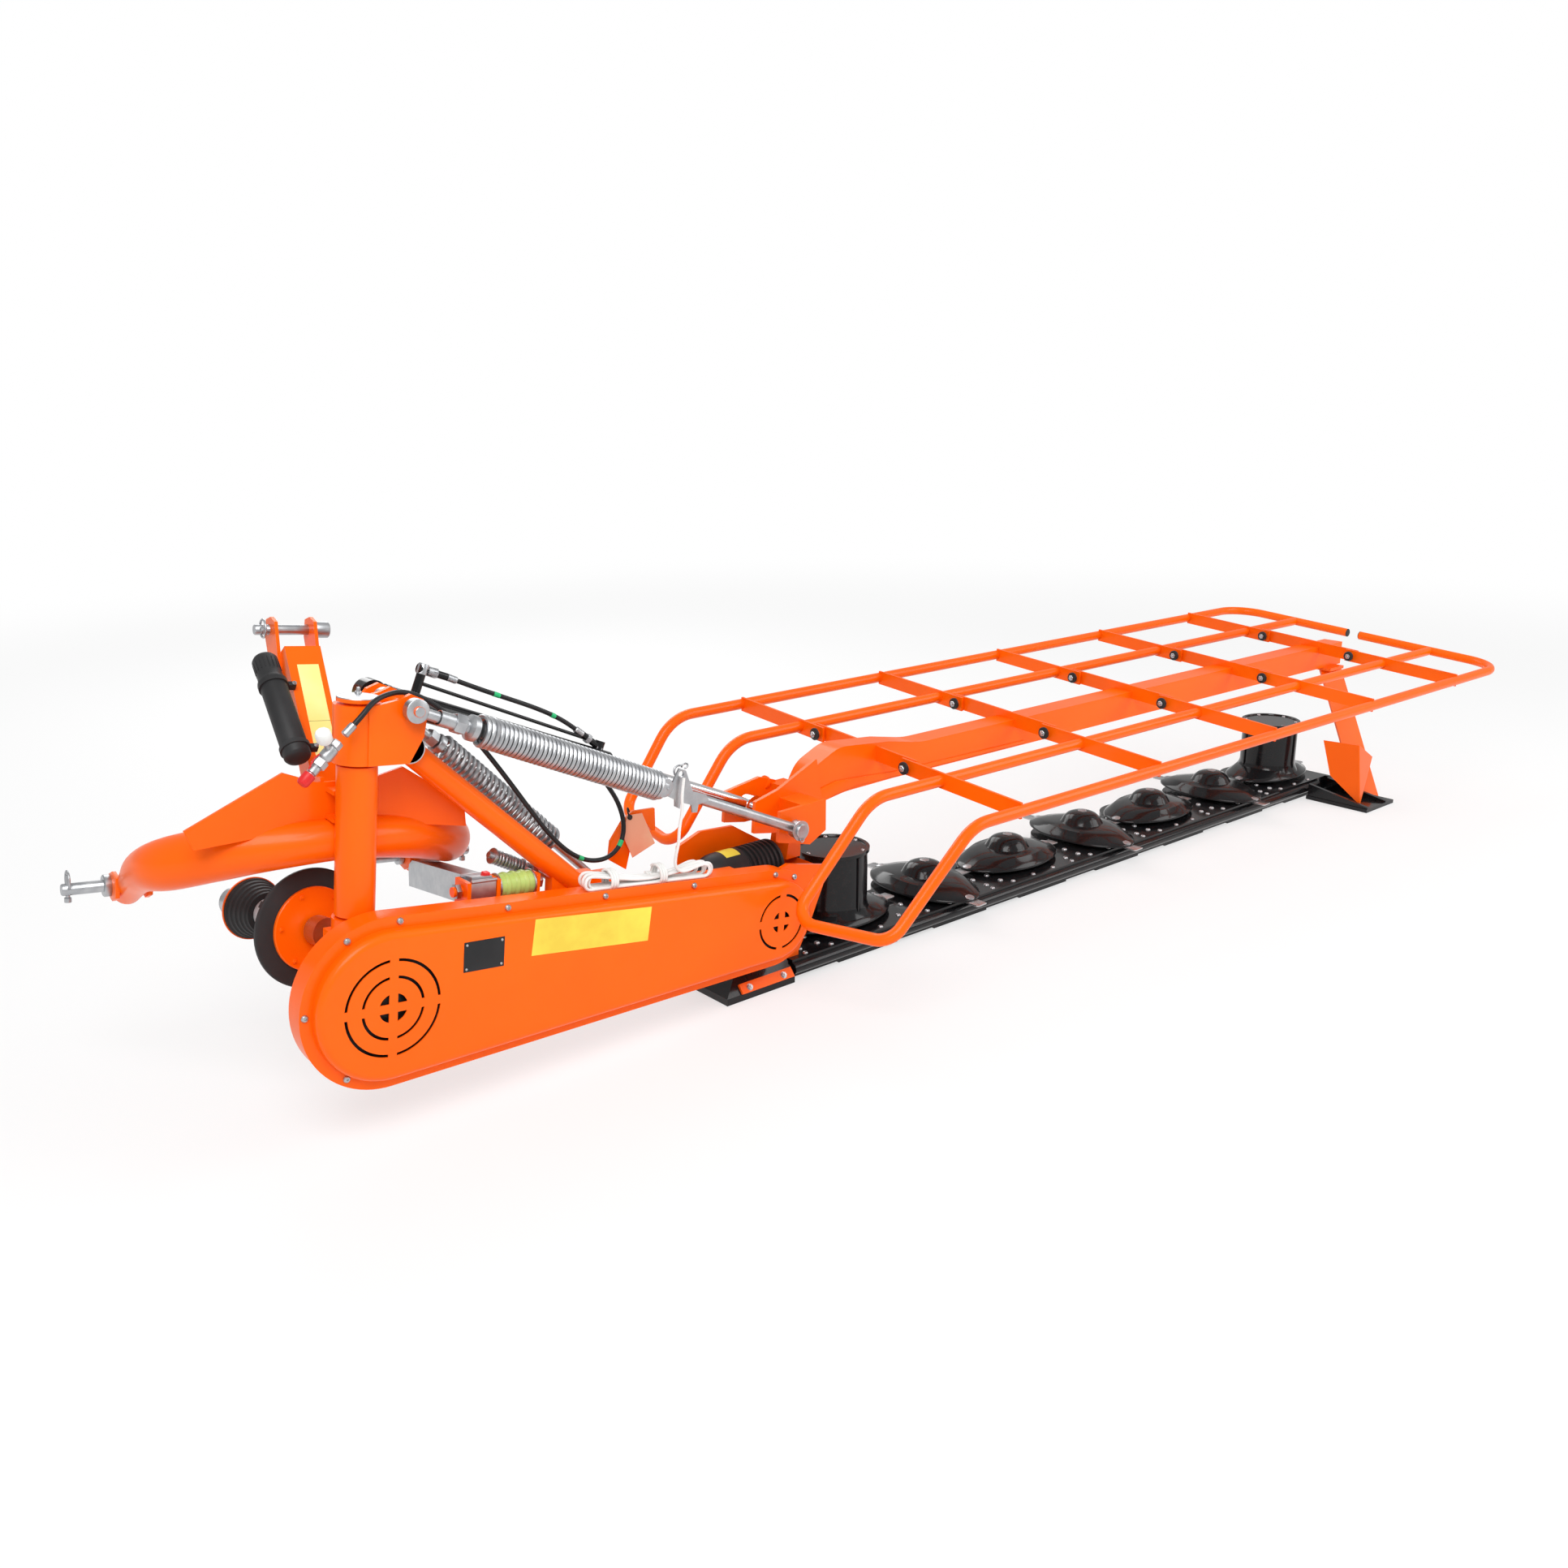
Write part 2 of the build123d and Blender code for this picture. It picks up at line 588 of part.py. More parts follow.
with BuildPart() as belt_case:
    with BuildSketch(side_plane(flange_y)) as case_face:
        with Locations((-pulley_span, -pulley_drop)):
            Circle(big_face_r + flange_width - 4)
        Circle(small_face_r + flange_width - 4)
        make_hull()
    extrude(case_face.sketch, amount=-(guard_back_y - flange_y))
    rod((-pulley_span, guard_back_y - 4, -pulley_drop), (-pulley_span, -144, -pulley_drop), 48)
    block((-1060, guard_back_y - 2, 40), (-300, beam_rear_y, 96))
finish(belt_case, "belt_case", carrier_place)

# Breakaway latch on the beam: two ears, a pin along the beam and a urethane spring
latch_u = -832.0
latch_w = 160.0
latch_pin_r = 12.0
latch_y = -92.0
with BuildPart() as latch_mount:
    block((-876, -122, beam_high), (-866, -62, latch_w + 26))
    block((-798, -122, beam_high), (-788, -62, latch_w + 26))
    block((-688, -122, beam_high), (-680, -62, latch_w + 26))
    rod((-900, latch_y, latch_w), (-664, latch_y, latch_w), latch_pin_r)
finish(latch_mount, "latch_mount", carrier_place)

with BuildPart() as latch_bumper:
    rod((-787.5, latch_y, latch_w), (-688.5, latch_y, latch_w), 29)
    rod((-800, latch_y, latch_w), (-670, latch_y, latch_w), latch_pin_r, mode=Mode.SUBTRACT)
finish(latch_bumper, "latch_bumper", carrier_place)

# Belt tensioner: a rod with a spring that leans on a foot on the beam
with BuildPart() as tensioner:
    block((-672, -66, beam_high), (-650, -36, 196))
    rod((-780, -44, 226), (-560, -44, 126), 9)
    rod((-770, -44, 221.5), (-690, -44, 185), 20)
finish(tensioner, "tensioner", carrier_place)

# Float springs between the ears' axis and the float lever
float_y = -24.0
float_foot_u, float_foot_w = -470.0, 132.0
float_r = 29.0


def on_float(share):
    return (ear_u + share * (float_foot_u - ear_u), float_y, ear_w + share * (float_foot_w - ear_w))


with BuildPart() as float_springs:
    rod((ear_u, float_y - 12, ear_w), (ear_u, float_y + 12, ear_w), 26)
    rod(on_float(0.03), on_float(0.25), 12)
    coil(on_float(0.24), on_float(0.78), float_r, wire_r, 24)
    rod(on_float(0.77), on_float(1), 12)
    rod((ear_u, float_y - 14, ear_w), (ear_u, float_y + 14, ear_w), ear_pin_r, mode=Mode.SUBTRACT)
finish(float_springs, "float_springs", carrier_place)

with BuildPart() as float_lever:
    slab(((-520, beam_high), (-420, beam_high), (-440, 150), (-500, 150)), -66, 22)
finish(float_lever, "float_lever", carrier_place)

# Headstock: bent tube arms, web plates, post, mast and hitch pins
arm_path = (
    (-arm_p, 505, 95), (-arm_p, 330, 200), (-300, 170, 262), (0, 60, 300), (300, 170, 262),
    (arm_p, 330, 200), (arm_p, 505, 95),
)
with BuildPart() as crossbar:
    pipe(arm_path, (110, 110, 160, 110, 110), arm_r)
    rod((0, 0, 200), (0, 0, 420), post_r, mode=Mode.SUBTRACT)
finish(crossbar, "crossbar", post_place)

with BuildPart() as wing_plates:
    with BuildSketch(side_plane(80)) as web:
        with BuildLine():
            Polyline(
                (-320, 300), (-340, 343), (-134, 456), (-60, 430), (60, 430), (139, 454), (293, 356), (300, 300),
                (60, 330), (-60, 330), close=True,
            )
        make_face()
    extrude(web.sketch, amount=-8)
    add(crossbar.part, mode=Mode.SUBTRACT)
    block((-40, 30, 348), (40, 88, 356))
    block((-40, 30, 410), (40, 88, 420))
    rod((0, 0, 200), (0, 0, 520), post_r, mode=Mode.SUBTRACT)
finish(wing_plates, "wing_plates", post_place)

with BuildPart() as swing_post:
    rod((0, 0, 146), (0, 0, post_top_w), post_r)
    rod((0, 0, beam_low - 12), (0, 0, housing_top_w + 8), post_pin_r)
    rod((0, 0, housing_top_w + 6), (0, 0, housing_top_w + 14), 46)
    rod((0, 0, beam_low - 20), (0, 0, beam_low - 10), 42)
finish(swing_post, "swing_post", post_place)

mast_lean = math.atan2(top_pin_q - mast_foot_q, top_pin_w - mast_foot_w)
with BuildPart() as mast:
    foot = (0, mast_foot_q - 40, mast_foot_w - 70)
    along = Vector(0, top_pin_q - mast_foot_q, top_pin_w - mast_foot_w).normalized()
    with BuildSketch(Plane(origin=foot, x_dir=(1, 0, 0), z_dir=along)) as section:
        Rectangle(mast_width, mast_depth)
    extrude(section.sketch, amount=420)
    for p in (-50, 42):
        with BuildSketch(end_plane(p)) as ear_face:
            with BuildLine():
                Polyline((350, 600), (400, 580), (462, 700), (456, 742), (424, 752), (396, 744), close=True)
            make_face()
        extrude(ear_face.sketch, amount=8)
        cross_slab(((84, 340), (84, 440), (160, 430), (140, 350)), p, 8)
    rod((-60, 436, 720), (60, 436, 720), top_pin_r, mode=Mode.SUBTRACT)
    add(crossbar.part, mode=Mode.SUBTRACT)
    add(wing_plates.part, mode=Mode.SUBTRACT)
finish(mast, "mast", post_place)

with BuildPart() as top_link_pin:
    rod((-80, 436, 720), (96, 436, 720), top_pin_r)
    rod((-92, 436, 720), (-80, 436, 720), 20)
finish(top_link_pin, "top_link_pin", post_place)

with BuildPart() as lower_hitch_pins:
    for side in (-1, 1):
        rod((side * hitch_half, hitch_q, hitch_w), (side * (hitch_half + lower_pin_out), hitch_q, hitch_w), lower_pin_r)
        rod((side * (hitch_half - 20), hitch_q, hitch_w), (side * hitch_half, hitch_q, hitch_w), 26)
        rod((side * (arm_p - arm_r - lower_pin_in), hitch_q, hitch_w), (side * (arm_p - 20), hitch_q, hitch_w), lower_pin_r)
    add(crossbar.part, mode=Mode.SUBTRACT)
finish(lower_hitch_pins, "lower_hitch_pins", post_place)

with BuildPart() as document_tube:
    rod((-89, 111, 478), (-89, 348, 664), 31)
    block((-89, 200, 500), (-40, 216, 540))
    add(wing_plates.part, mode=Mode.SUBTRACT)
    add(mast.part, mode=Mode.SUBTRACT)
finish(document_tube, "document_tube", post_place)

# Breakaway bar, a square tube from the right arm to the latch pin, its mouth open
with BuildPart() as breakaway_bar:
    start, tip = Vector(309, 0, 160), Vector(340, 440, 84)
    with BuildSketch(Plane(origin=start, x_dir=(0, 0, 1), z_dir=tip - start)) as box_face:
        Rectangle(70, 50)
    extrude(box_face.sketch, amount=(tip - start).length)
    block((250, -60, 140), (370, 52, 180), mode=Mode.SUBTRACT)
    add(crossbar.part, mode=Mode.SUBTRACT)
finish(breakaway_bar, "breakaway_bar", post_place)

# Shields of the drive shaft and the shaft inside them
shaft_line = Vector(*shaft_front) - Vector(*shaft_rear)
shaft_step = shaft_line.normalized()


def on_shaft(distance):
    return tuple(Vector(*shaft_rear) + shaft_step * distance)


shaft_length = shaft_line.length
with BuildPart() as shaft_cone:
    flare(on_shaft(0), on_shaft(cone_deep), cone_r, 62)
    rod((-46, 82, 262), (-50, 152, 190), 6)
    add(crossbar.part, mode=Mode.SUBTRACT)
    rod(on_shaft(-1), on_shaft(cone_deep + 1), shaft_r + 3, mode=Mode.SUBTRACT)
finish(shaft_cone, "shaft_cone", post_place)

with BuildPart() as shaft_sleeve:
    rod(on_shaft(cone_deep), on_shaft(shaft_length - 70), sleeve_r)
    rod(on_shaft(0), on_shaft(shaft_length), shaft_r + 3, mode=Mode.SUBTRACT)
finish(shaft_sleeve, "shaft_sleeve", post_place)

with BuildPart() as shaft_collar:
    flare(on_shaft(shaft_length - 70), on_shaft(shaft_length), 52, collar_r)
    rod(on_shaft(shaft_length - 71), on_shaft(shaft_length + 1), shaft_r + 3, mode=Mode.SUBTRACT)
finish(shaft_collar, "shaft_collar", post_place)

with BuildPart() as drive_shaft:
    rod(on_shaft(-36), on_shaft(shaft_length + 24), shaft_r + 2.95)
    rod(on_shaft(shaft_length + 12), on_shaft(shaft_length + yoke_reach), 36)
    rod(on_shaft(-60), on_shaft(-20), 34)
    rod(on_shaft(shaft_length + 30), on_shaft(shaft_length + yoke_reach + 1), 17.45, mode=Mode.SUBTRACT)
finish(drive_shaft, "drive_shaft", post_place)

# Lift cylinder and relief link, each opened at the far eye
lift_base = Vector(*turned((ear_u, 0, ear_w), carrier_tilt)) + Vector(hinge_x, 0, hinge_z)
lift_angle = math.degrees(math.atan2(lift_pin_z - lift_base.Z, lift_pin_x - lift_base.X))
lift_span = math.hypot(lift_pin_z - lift_base.Z, lift_pin_x - lift_base.X)
lift_place = Location((lift_base.X, cylinder_y, lift_base.Z), (0, -lift_angle, 0))
link_angle = math.degrees(math.atan2(link_pin_z - lift_base.Z, link_pin_x - lift_base.X))
link_span = math.hypot(link_pin_z - lift_base.Z, link_pin_x - lift_base.X)
link_place = Location((lift_base.X, link_y, lift_base.Z), (0, -link_angle, 0))

with BuildPart() as lift_barrel:
    rod((28, 0, 0), (barrel_end, 0, 0), barrel_r)
    rod((591.6, -elbow_reach + 0.1, -9.5), (591.6, -20, -9.5), 14)
    rod((0, -20, 0), (0, 20, 0), 34)
    rod((0, -21, 0), (0, 21, 0), ear_pin_r + running_gap, mode=Mode.SUBTRACT)
    rod((60, 0, 0), (barrel_end + 1, 0, 0), rod_r + running_gap, mode=Mode.SUBTRACT)
finish(lift_barrel, "lift_barrel", lift_place)

with BuildPart() as lift_rod:
    rod((370, 0, 0), (lift_span - 20, 0, 0), rod_r)
    rod((lift_span, -eye_half, 0), (lift_span, eye_half, 0), 32)
    rod((lift_span, -eye_half - 12, 0), (lift_span, eye_half + 12, 0), 13)
finish(lift_rod, "lift_rod", lift_place)

with BuildPart() as relief_spring:
    rod((0, -link_eye_half, 0), (0, link_eye_half, 0), 27)
    rod((0, -link_eye_half - 1, 0), (0, link_eye_half + 1, 0), ear_pin_r + running_gap, mode=Mode.SUBTRACT)
    rod((22, 0, 0), (link_coil[1] + 12, 0, 0), 18)
    coil((link_coil[0], 0, 0), (link_coil[1], 0, 0), coil_r, wire_r, 40)
    rod((60, 0, 0), (link_coil[1] + 13, 0, 0), 14 + running_gap, mode=Mode.SUBTRACT)
finish(relief_spring, "relief_spring", link_place)

with BuildPart() as relief_tube:
    rod((370, 0, 0), (link_span - 16, 0, 0), 14)
    rod((link_span, -link_eye_half, 0), (link_span, link_eye_half, 0), 25)
finish(relief_tube, "relief_tube", link_place)

# Hose along the lift cylinder with its ports and the thin pipe under it
with BuildPart() as lift_hose:
    cord(((174, 0, 88), (250, 0, 84.5), (335, 0, 83), (420, 0, 82), (490, 0, 77), (545, 0, 67), (590, 0, 53)), hose_d)
finish(lift_hose, "lift_hose", lift_place)

with BuildPart() as lift_hose_ports:
    rod((108, 0, barrel_r - 3), (108, 0, 99), 11)
    rod((96, 0, 88), (120, 0, 88), 12)
    rod((110, 0, 88), (174, 0, 88), 9)
    rod((590, 0, 53), (652, 0, 33.7), 9)
    rod((652, 0, barrel_r - 3), (652, 0, 50), 13)
    rod((108, 0, 56), (652, 0, 44), 4.5)
    add(lift_barrel.part, mode=Mode.SUBTRACT)
    add(lift_hose.part, mode=Mode.SUBTRACT)
finish(lift_hose_ports, "lift_hose_ports", lift_place)

# Supply hose from its capped coupling over the ears and in a loop to the cylinder
supply_route = (
    (-1204, -172, 568), (-1168, -172, 604), (-1136, -160, 634), (-1098, -142, 644), (-1052, -122, 646),
    (-1000, -106, 630), (-940, -97, 594), (-868, -95, 538), (-802, -95, 464), (-742, -95, 392), (-688, -95, 325),
    (-634, -95, 263), (-580, -95, 217), (-524, -95, 191), (-468, -94, 191), (-427, -90, 219), (-412, -82, 268),
    (-423, -70, 321), (-446, -52, 366), (-470, -30, 404),
)
with BuildPart() as supply_hose:
    cord(supply_route, hose_d)
finish(supply_hose, "supply_hose", carrier_place)

with BuildPart() as hose_elbow:
    rod((-470, -30, 404), (-484, -15, 424), 9)
    rod((-484, -22, 424), (-484, cylinder_y - elbow_reach, 424), 13)
    add(supply_hose.part, mode=Mode.SUBTRACT)
finish(hose_elbow, "hose_elbow", carrier_place)

with BuildPart() as hose_coupling:
    rod((-1204, -172, 568), (-1226, -176, 547), 9)
    rod((-1226, -176, 547), (-1256, -182, 519), 12)
    rod((-1256, -182, 519), (-1270, -185, 506), 14)
    rod((-1270, -185, 506), (-1308, -192, 470), 11)
    rod((-1241, -179, 533), (-1258, -197, 565), 5)
    rod((-1256, -195, 561), (-1270, -209, 587), 17)
    add(supply_hose.part, mode=Mode.SUBTRACT)
finish(hose_coupling, "hose_coupling", carrier_place)

# Hook plate at the relief spring's end, the trip rope beside it and its hank on the guard
hook_outline = (
    (690, 18), (690, -14), (745, -20), (752, -36), (768, -38), (764, -22), (800, -20), (812, -38), (826, -34),
    (822, -14), (850, 4), (836, 16), (790, 14), (748, 58), (726, 58), (720, 20),
)
with BuildPart() as hook_plate:
    slab(hook_outline, -22, 6, holes=((737, 46, 8),))
    add(relief_spring.part, mode=Mode.SUBTRACT)
finish(hook_plate, "hook_plate", link_place)

with BuildPart() as trip_rope:
    cord(
        (
            (-331, -209, 414), (-335, -210, 372), (-330, -211, 330), (-336, -210, 286), (-332, -207, 244),
            (-337, -199, 206), (-342, -186, 168.5),
        ),
        rope_d,
    )
finish(trip_rope, "trip_rope", carrier_place)

case_slope = (big_face_r - pulley_drop - small_face_r) / pulley_span
with BuildPart() as rope_hank:
    hank_ends = []
    for u in (-600, -215):
        top = small_face_r + flange_width - 4 - u * case_slope
        hank_ends.append((u, -184, top + hank_r + 0.6))
    rod(*hank_ends, hank_r)
    for place in hank_ends:
        with Locations(place):
            Sphere(hank_r)
finish(rope_hank, "rope_hank", carrier_place)

# Move the footprint's centre to the origin and write every piece
low = [min(getattr(piece.bounding_box().min, axis) for piece in finished) for axis in "XYZ"]
high = [max(getattr(piece.bounding_box().max, axis) for piece in finished) for axis in "XYZ"]
shift = Vector(-(low[0] + high[0]) / 2, -(low[1] + high[1]) / 2, -low[2])
for piece in finished:
    label = piece.label
    placed = piece.moved(Location(shift))
    placed.label = label
    export_step(placed, f"parts/{label}.step")
print("shift", [round(value, 3) for value in shift], "low", low, "high", high)
print("lift", lift_base, lift_angle, lift_span, "link", link_angle, link_span)
print(len(finished), "pieces")
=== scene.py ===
import json
from math import asin, cos, exp, pi, radians, sin, tau

import bmesh
import bpy
from mathutils import Matrix, Vector


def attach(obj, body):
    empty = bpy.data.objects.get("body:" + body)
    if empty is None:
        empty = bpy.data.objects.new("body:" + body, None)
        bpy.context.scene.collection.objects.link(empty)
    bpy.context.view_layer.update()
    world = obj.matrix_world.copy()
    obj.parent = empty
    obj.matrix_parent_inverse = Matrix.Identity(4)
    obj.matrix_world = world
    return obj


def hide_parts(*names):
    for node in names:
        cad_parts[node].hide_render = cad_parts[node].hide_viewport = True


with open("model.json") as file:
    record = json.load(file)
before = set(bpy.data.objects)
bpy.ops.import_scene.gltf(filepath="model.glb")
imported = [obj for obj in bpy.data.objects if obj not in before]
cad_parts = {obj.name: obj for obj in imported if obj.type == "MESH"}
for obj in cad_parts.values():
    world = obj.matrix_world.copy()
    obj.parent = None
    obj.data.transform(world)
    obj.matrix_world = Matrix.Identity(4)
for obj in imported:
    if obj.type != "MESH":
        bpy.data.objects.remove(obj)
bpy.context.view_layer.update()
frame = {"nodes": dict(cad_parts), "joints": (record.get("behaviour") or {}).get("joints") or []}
nodes = frame["nodes"]
scene = bpy.context.scene
joints = {joint["name"]: joint for joint in frame["joints"]}

# Places are written in millimetres in the mower's layout: the lift hinge at x -814, z 230
hinge = (-814, 230)
shift = Vector(joints["bar_lift"]["pos_m"]) - Vector((hinge[0], 0, hinge[1])) / 1000
tilt = radians(6.2)  # the carrier, as it is parked
yaw = radians(-3.5)  # the headstock on its post
post = (-1141, -96)


def layout(x, y, z):
    return Vector((x, y, z)) / 1000 + shift


def carrier(u, y, w):
    x = hinge[0] + cos(tilt) * u + sin(tilt) * w
    return layout(x, y, hinge[1] - sin(tilt) * u + cos(tilt) * w)


def headstock(p, q, w):
    u = post[0] + cos(yaw) * p - sin(yaw) * q
    return carrier(u, post[1] + sin(yaw) * p + cos(yaw) * q, w)


def carrierWay(u, y, w):
    return carrier(u, y, w) - carrier(0, 0, 0)


def headstockWay(p, q, w):
    return (headstock(p, q, w) - headstock(0, 0, 0)).normalized()


ahead = Vector((0, 1, 0))
backward = Vector((0, -1, 0))
upward = Vector((0, 0, 1))
carrierUp = carrierWay(0, 0, 1)
carrierOut = carrierWay(1, 0, 0)
across = headstockWay(1, 0, 0)
onward = headstockWay(0, 1, 0)
postUp = headstockWay(0, 0, 1)


def put(name, data):
    piece = bpy.data.objects.new(name, data)
    scene.collection.objects.link(piece)
    return piece


# Camera, where the photograph was taken from
photoCamera = {
    "eye": (-3130.8, -2952.3, 1656.8), "turn": 40.234, "dip": 16.299, "roll": 0.2524,
    "lens": 32.641, "sideShift": 0.00745,
}


def addCamera(eye, turn, dip, roll, lens, sideShift):
    turn, dip, roll = (radians(angle) for angle in (turn, dip, roll))
    sight = Vector((sin(turn) * cos(dip), cos(turn) * cos(dip), -sin(dip)))
    level = Vector((cos(turn), -sin(turn), 0))
    right = cos(roll) * level + sin(roll) * sight.cross(level)
    data = bpy.data.cameras.new("photoCamera")
    data.lens = lens
    data.sensor_width = 36
    data.shift_x = sideShift
    data.clip_end = 60
    camera = put("photoCamera", data)
    basis = Matrix((right, -sight.cross(right), -sight)).transposed().to_4x4()
    camera.matrix_world = Matrix.Translation(layout(*eye)) @ basis
    scene.camera = camera


addCamera(**photoCamera)
print("camera set")


# Shader sums as plain expressions, the reflected ones with their sides swapped
def operator(kind, swapped=False):
    def made(self, other):
        first, second = (other, self) if swapped else (self, other)
        return self.web.node("ShaderNodeMath", {"operation": kind}, {0: first, 1: second})

    return made


class Value:
    def __init__(self, web, socket):
        self.web, self.socket = web, socket

    __add__, __radd__ = operator("ADD"), operator("ADD", True)
    __sub__, __rsub__ = operator("SUBTRACT"), operator("SUBTRACT", True)
    __mul__, __rmul__ = operator("MULTIPLY"), operator("MULTIPLY", True)


# A node tree, of a material or the world
class Web:
    def __init__(self, tree):
        self.tree = tree

    def node(self, kind, settings=None, sockets=None, out=0):
        made = self.tree.nodes.new(kind)
        for key, value in (settings or {}).items():
            if key == "stops":
                ramp = made.color_ramp.elements
                for stop, (place, colour) in zip(ramp, value):
                    stop.position, stop.color = place, colour
            else:
                setattr(made, key, value)
        for key, value in (sockets or {}).items():
            if isinstance(value, Value):
                self.tree.links.new(value.socket, made.inputs[key])
            else:
                made.inputs[key].default_value = value
        return Value(self, made.outputs[out])

    def feed(self, name, value, node="Principled BSDF"):
        self.tree.links.new(value.socket, self.tree.nodes[node].inputs[name])
        return self

    def place(self):
        return self.node("ShaderNodeTexCoord", out="Object")

    def noise(self, scale, detail=3, rough=0.5):
        sockets = {"Vector": self.place(), "Scale": scale, "Detail": detail, "Roughness": rough}
        return self.node("ShaderNodeTexNoise", {}, sockets)

    def ramp(self, value, low, high, top=1):  # black up to low, and grey of the value top from high on
        stops = [(low, (0, 0, 0, 1)), (high, (top, top, top, 1))]
        return self.node("ShaderNodeValToRGB", {"stops": stops}, {"Fac": value})

    def mix(self, share, first, second):
        return self.node("ShaderNodeMix", {"data_type": "RGBA"}, {0: share, 6: first, 7: second}, out=2)

    def bump(self, scale, strength, distance):
        sockets = {"Height": self.noise(scale, 2), "Strength": strength, "Distance": distance}
        return self.feed("Normal", self.node("ShaderNodeBump", {}, sockets))


def paint(name, **fixed):
    material = bpy.data.materials.new(name)
    material.use_nodes = True
    web = Web(material.node_tree)
    web.material = material
    for key, value in fixed.items():
        web.tree.nodes["Principled BSDF"].inputs[key.replace("_", " ")].default_value = value
    return web


# Sprayed gloss paint: faint orange peel, a little unevenness and dust on it
def enamel(name, colour, shade, rough, coat, dust=0):
    web = paint(name, Roughness=rough, Coat_Weight=coat, Coat_Roughness=0.08, Specular_IOR_Level=0.16)
    broad = web.noise(2.3, 4)
    fine = web.noise(60, 3)
    tone = web.mix(web.ramp(broad, 0.35, 0.7), colour, shade)
    if dust:
        tone = web.mix(web.ramp(fine, 0.55, 0.8, dust), tone, (0.35, 0.33, 0.3, 1))
    web.feed("Base Color", tone)
    web.feed("Roughness", rough + 0.12 * broad * fine)
    return web.bump(420, 0.05, 0.0006)


# Zinc plate or bare steel: cloudy, with a fine grain
def plated(name, colour, dark, rough, scale, strength=0.1):
    web = paint(name, Metallic=1, Roughness=rough)
    cloud = web.noise(scale, 5, 0.6)
    web.feed("Base Color", web.mix(web.ramp(cloud, 0.3, 0.7), dark, colour))
    web.feed("Roughness", rough - 0.08 + 0.2 * cloud)
    return web.bump(900, strength, 0.0004)


# Moulded plastic, rubber, card or rope, with a fine grain
def moulded(name, colour, rough, grain=700):
    web = paint(name, Roughness=rough, Specular_IOR_Level=0.28)
    cloud = web.noise(9, 4)
    lighter = tuple(min(1, channel * 1.9 + 0.004) for channel in colour[:3]) + (1,)
    web.feed("Base Color", web.mix(web.ramp(cloud, 0.4, 0.8, 0.6), colour, lighter))
    web.feed("Roughness", rough - 0.05 + 0.12 * cloud)
    return web.bump(grain, 0.12, 0.0005)


paints = {
    "orange": enamel("orangePaint", (1, 0.138, 0.001, 1), (0.94, 0.118, 0.001, 1), 0.27, 0.1),
    "black": enamel("blackPaint", (0.006, 0.006, 0.007, 1), (0.01, 0.01, 0.011, 1), 0.15, 0.3, 0.02),
    "zinc": plated("zincPlate", (0.56, 0.57, 0.58, 1), (0.4, 0.41, 0.43, 1), 0.38, 30),
    "steel": plated("brightSteel", (0.62, 0.62, 0.63, 1), (0.46, 0.46, 0.47, 1), 0.28, 18),
    "chrome": plated("hardChrome", (0.8, 0.8, 0.81, 1), (0.72, 0.72, 0.74, 1), 0.12, 6, 0.02),
    "casting": moulded("blackCasting", (0.018, 0.018, 0.018, 1), 0.45, 160),
    "plastic": moulded("blackPlastic", (0.02, 0.02, 0.021, 1), 0.48),
    "grey": moulded("greyPlastic", (0.42, 0.42, 0.43, 1), 0.42),
    "hose": moulded("blackHose", (0.012, 0.012, 0.013, 1), 0.35, 1400),
    "red": moulded("redPlastic", (0.62, 0.02, 0.02, 1), 0.35),
    "yellow": moulded("yellowDecal", (0.8, 0.58, 0.06, 1), 0.32, 300),
    "white": moulded("whiteRope", (0.78, 0.78, 0.76, 1), 0.75, 500),
    "green": moulded("greenBand", (0.02, 0.45, 0.16, 1), 0.4, 300),
    "urethane": moulded("greenUrethane", (0.42, 0.6, 0.16, 1), 0.25, 90),
    "tag": moulded("blankTagCard", (0.9, 0.4, 0.25, 1), 0.4, 300),
    "paleYellow": moulded("paleYellowDecal", (0.95, 0.86, 0.28, 1), 0.32, 300),
    "sign": moulded("blackSign", (0.015, 0.015, 0.016, 1), 0.3, 220),
}

# The nodes that aren't orange
nodePaint = {
    "zinc": "tensioner float_springs top_link_pin lower_hitch_pins breakaway_bar hinge_tube relief_spring "
            "relief_tube hose_elbow hose_coupling hook_plate",
    "hose": "lift_hose supply_hose",
    "white": "trip_rope rope_hank",
    "black": "gear_bed bed_skids inner_skid outer_shoe lift_barrel lift_hose_ports "
             "disc_1 disc_2 disc_3 disc_4 disc_5 disc_6 disc_7",
    "plastic": "document_tube shaft_cone shaft_collar gearbox_cover",
    "grey": "shaft_sleeve", "steel": "drive_shaft", "chrome": "lift_rod", "casting": "gearbox",
    "urethane": "latch_bumper",
}
paintOf = {name: finish for finish, names in nodePaint.items() for name in names.split()}

for name, piece in nodes.items():
    piece.data.materials.clear()
    piece.data.materials.append(paints[paintOf.get(name, "orange")].material)
print("painted", len(nodes), "nodes")


# Floor and light. The floor glows for the rays that only look at it, more so far from the mower
studio = {
    "floor": (0.86, 0.86, 0.86, 1), "glowNear": (2.6, 0.62), "glowFar": (9, 1),
    "lamps": (
        ("keyLight", (-3.6, -3, 4.6), (-0.4, 0, 0.4), 3.2, 210),
        ("fillLight", (3.8, -3.6, 3.4), (0.6, 0, 0.3), 3.6, 130),
        ("backLight", (0.5, 4.6, 3.6), (0, 0, 0.4), 3.6, 120),
    ),
}


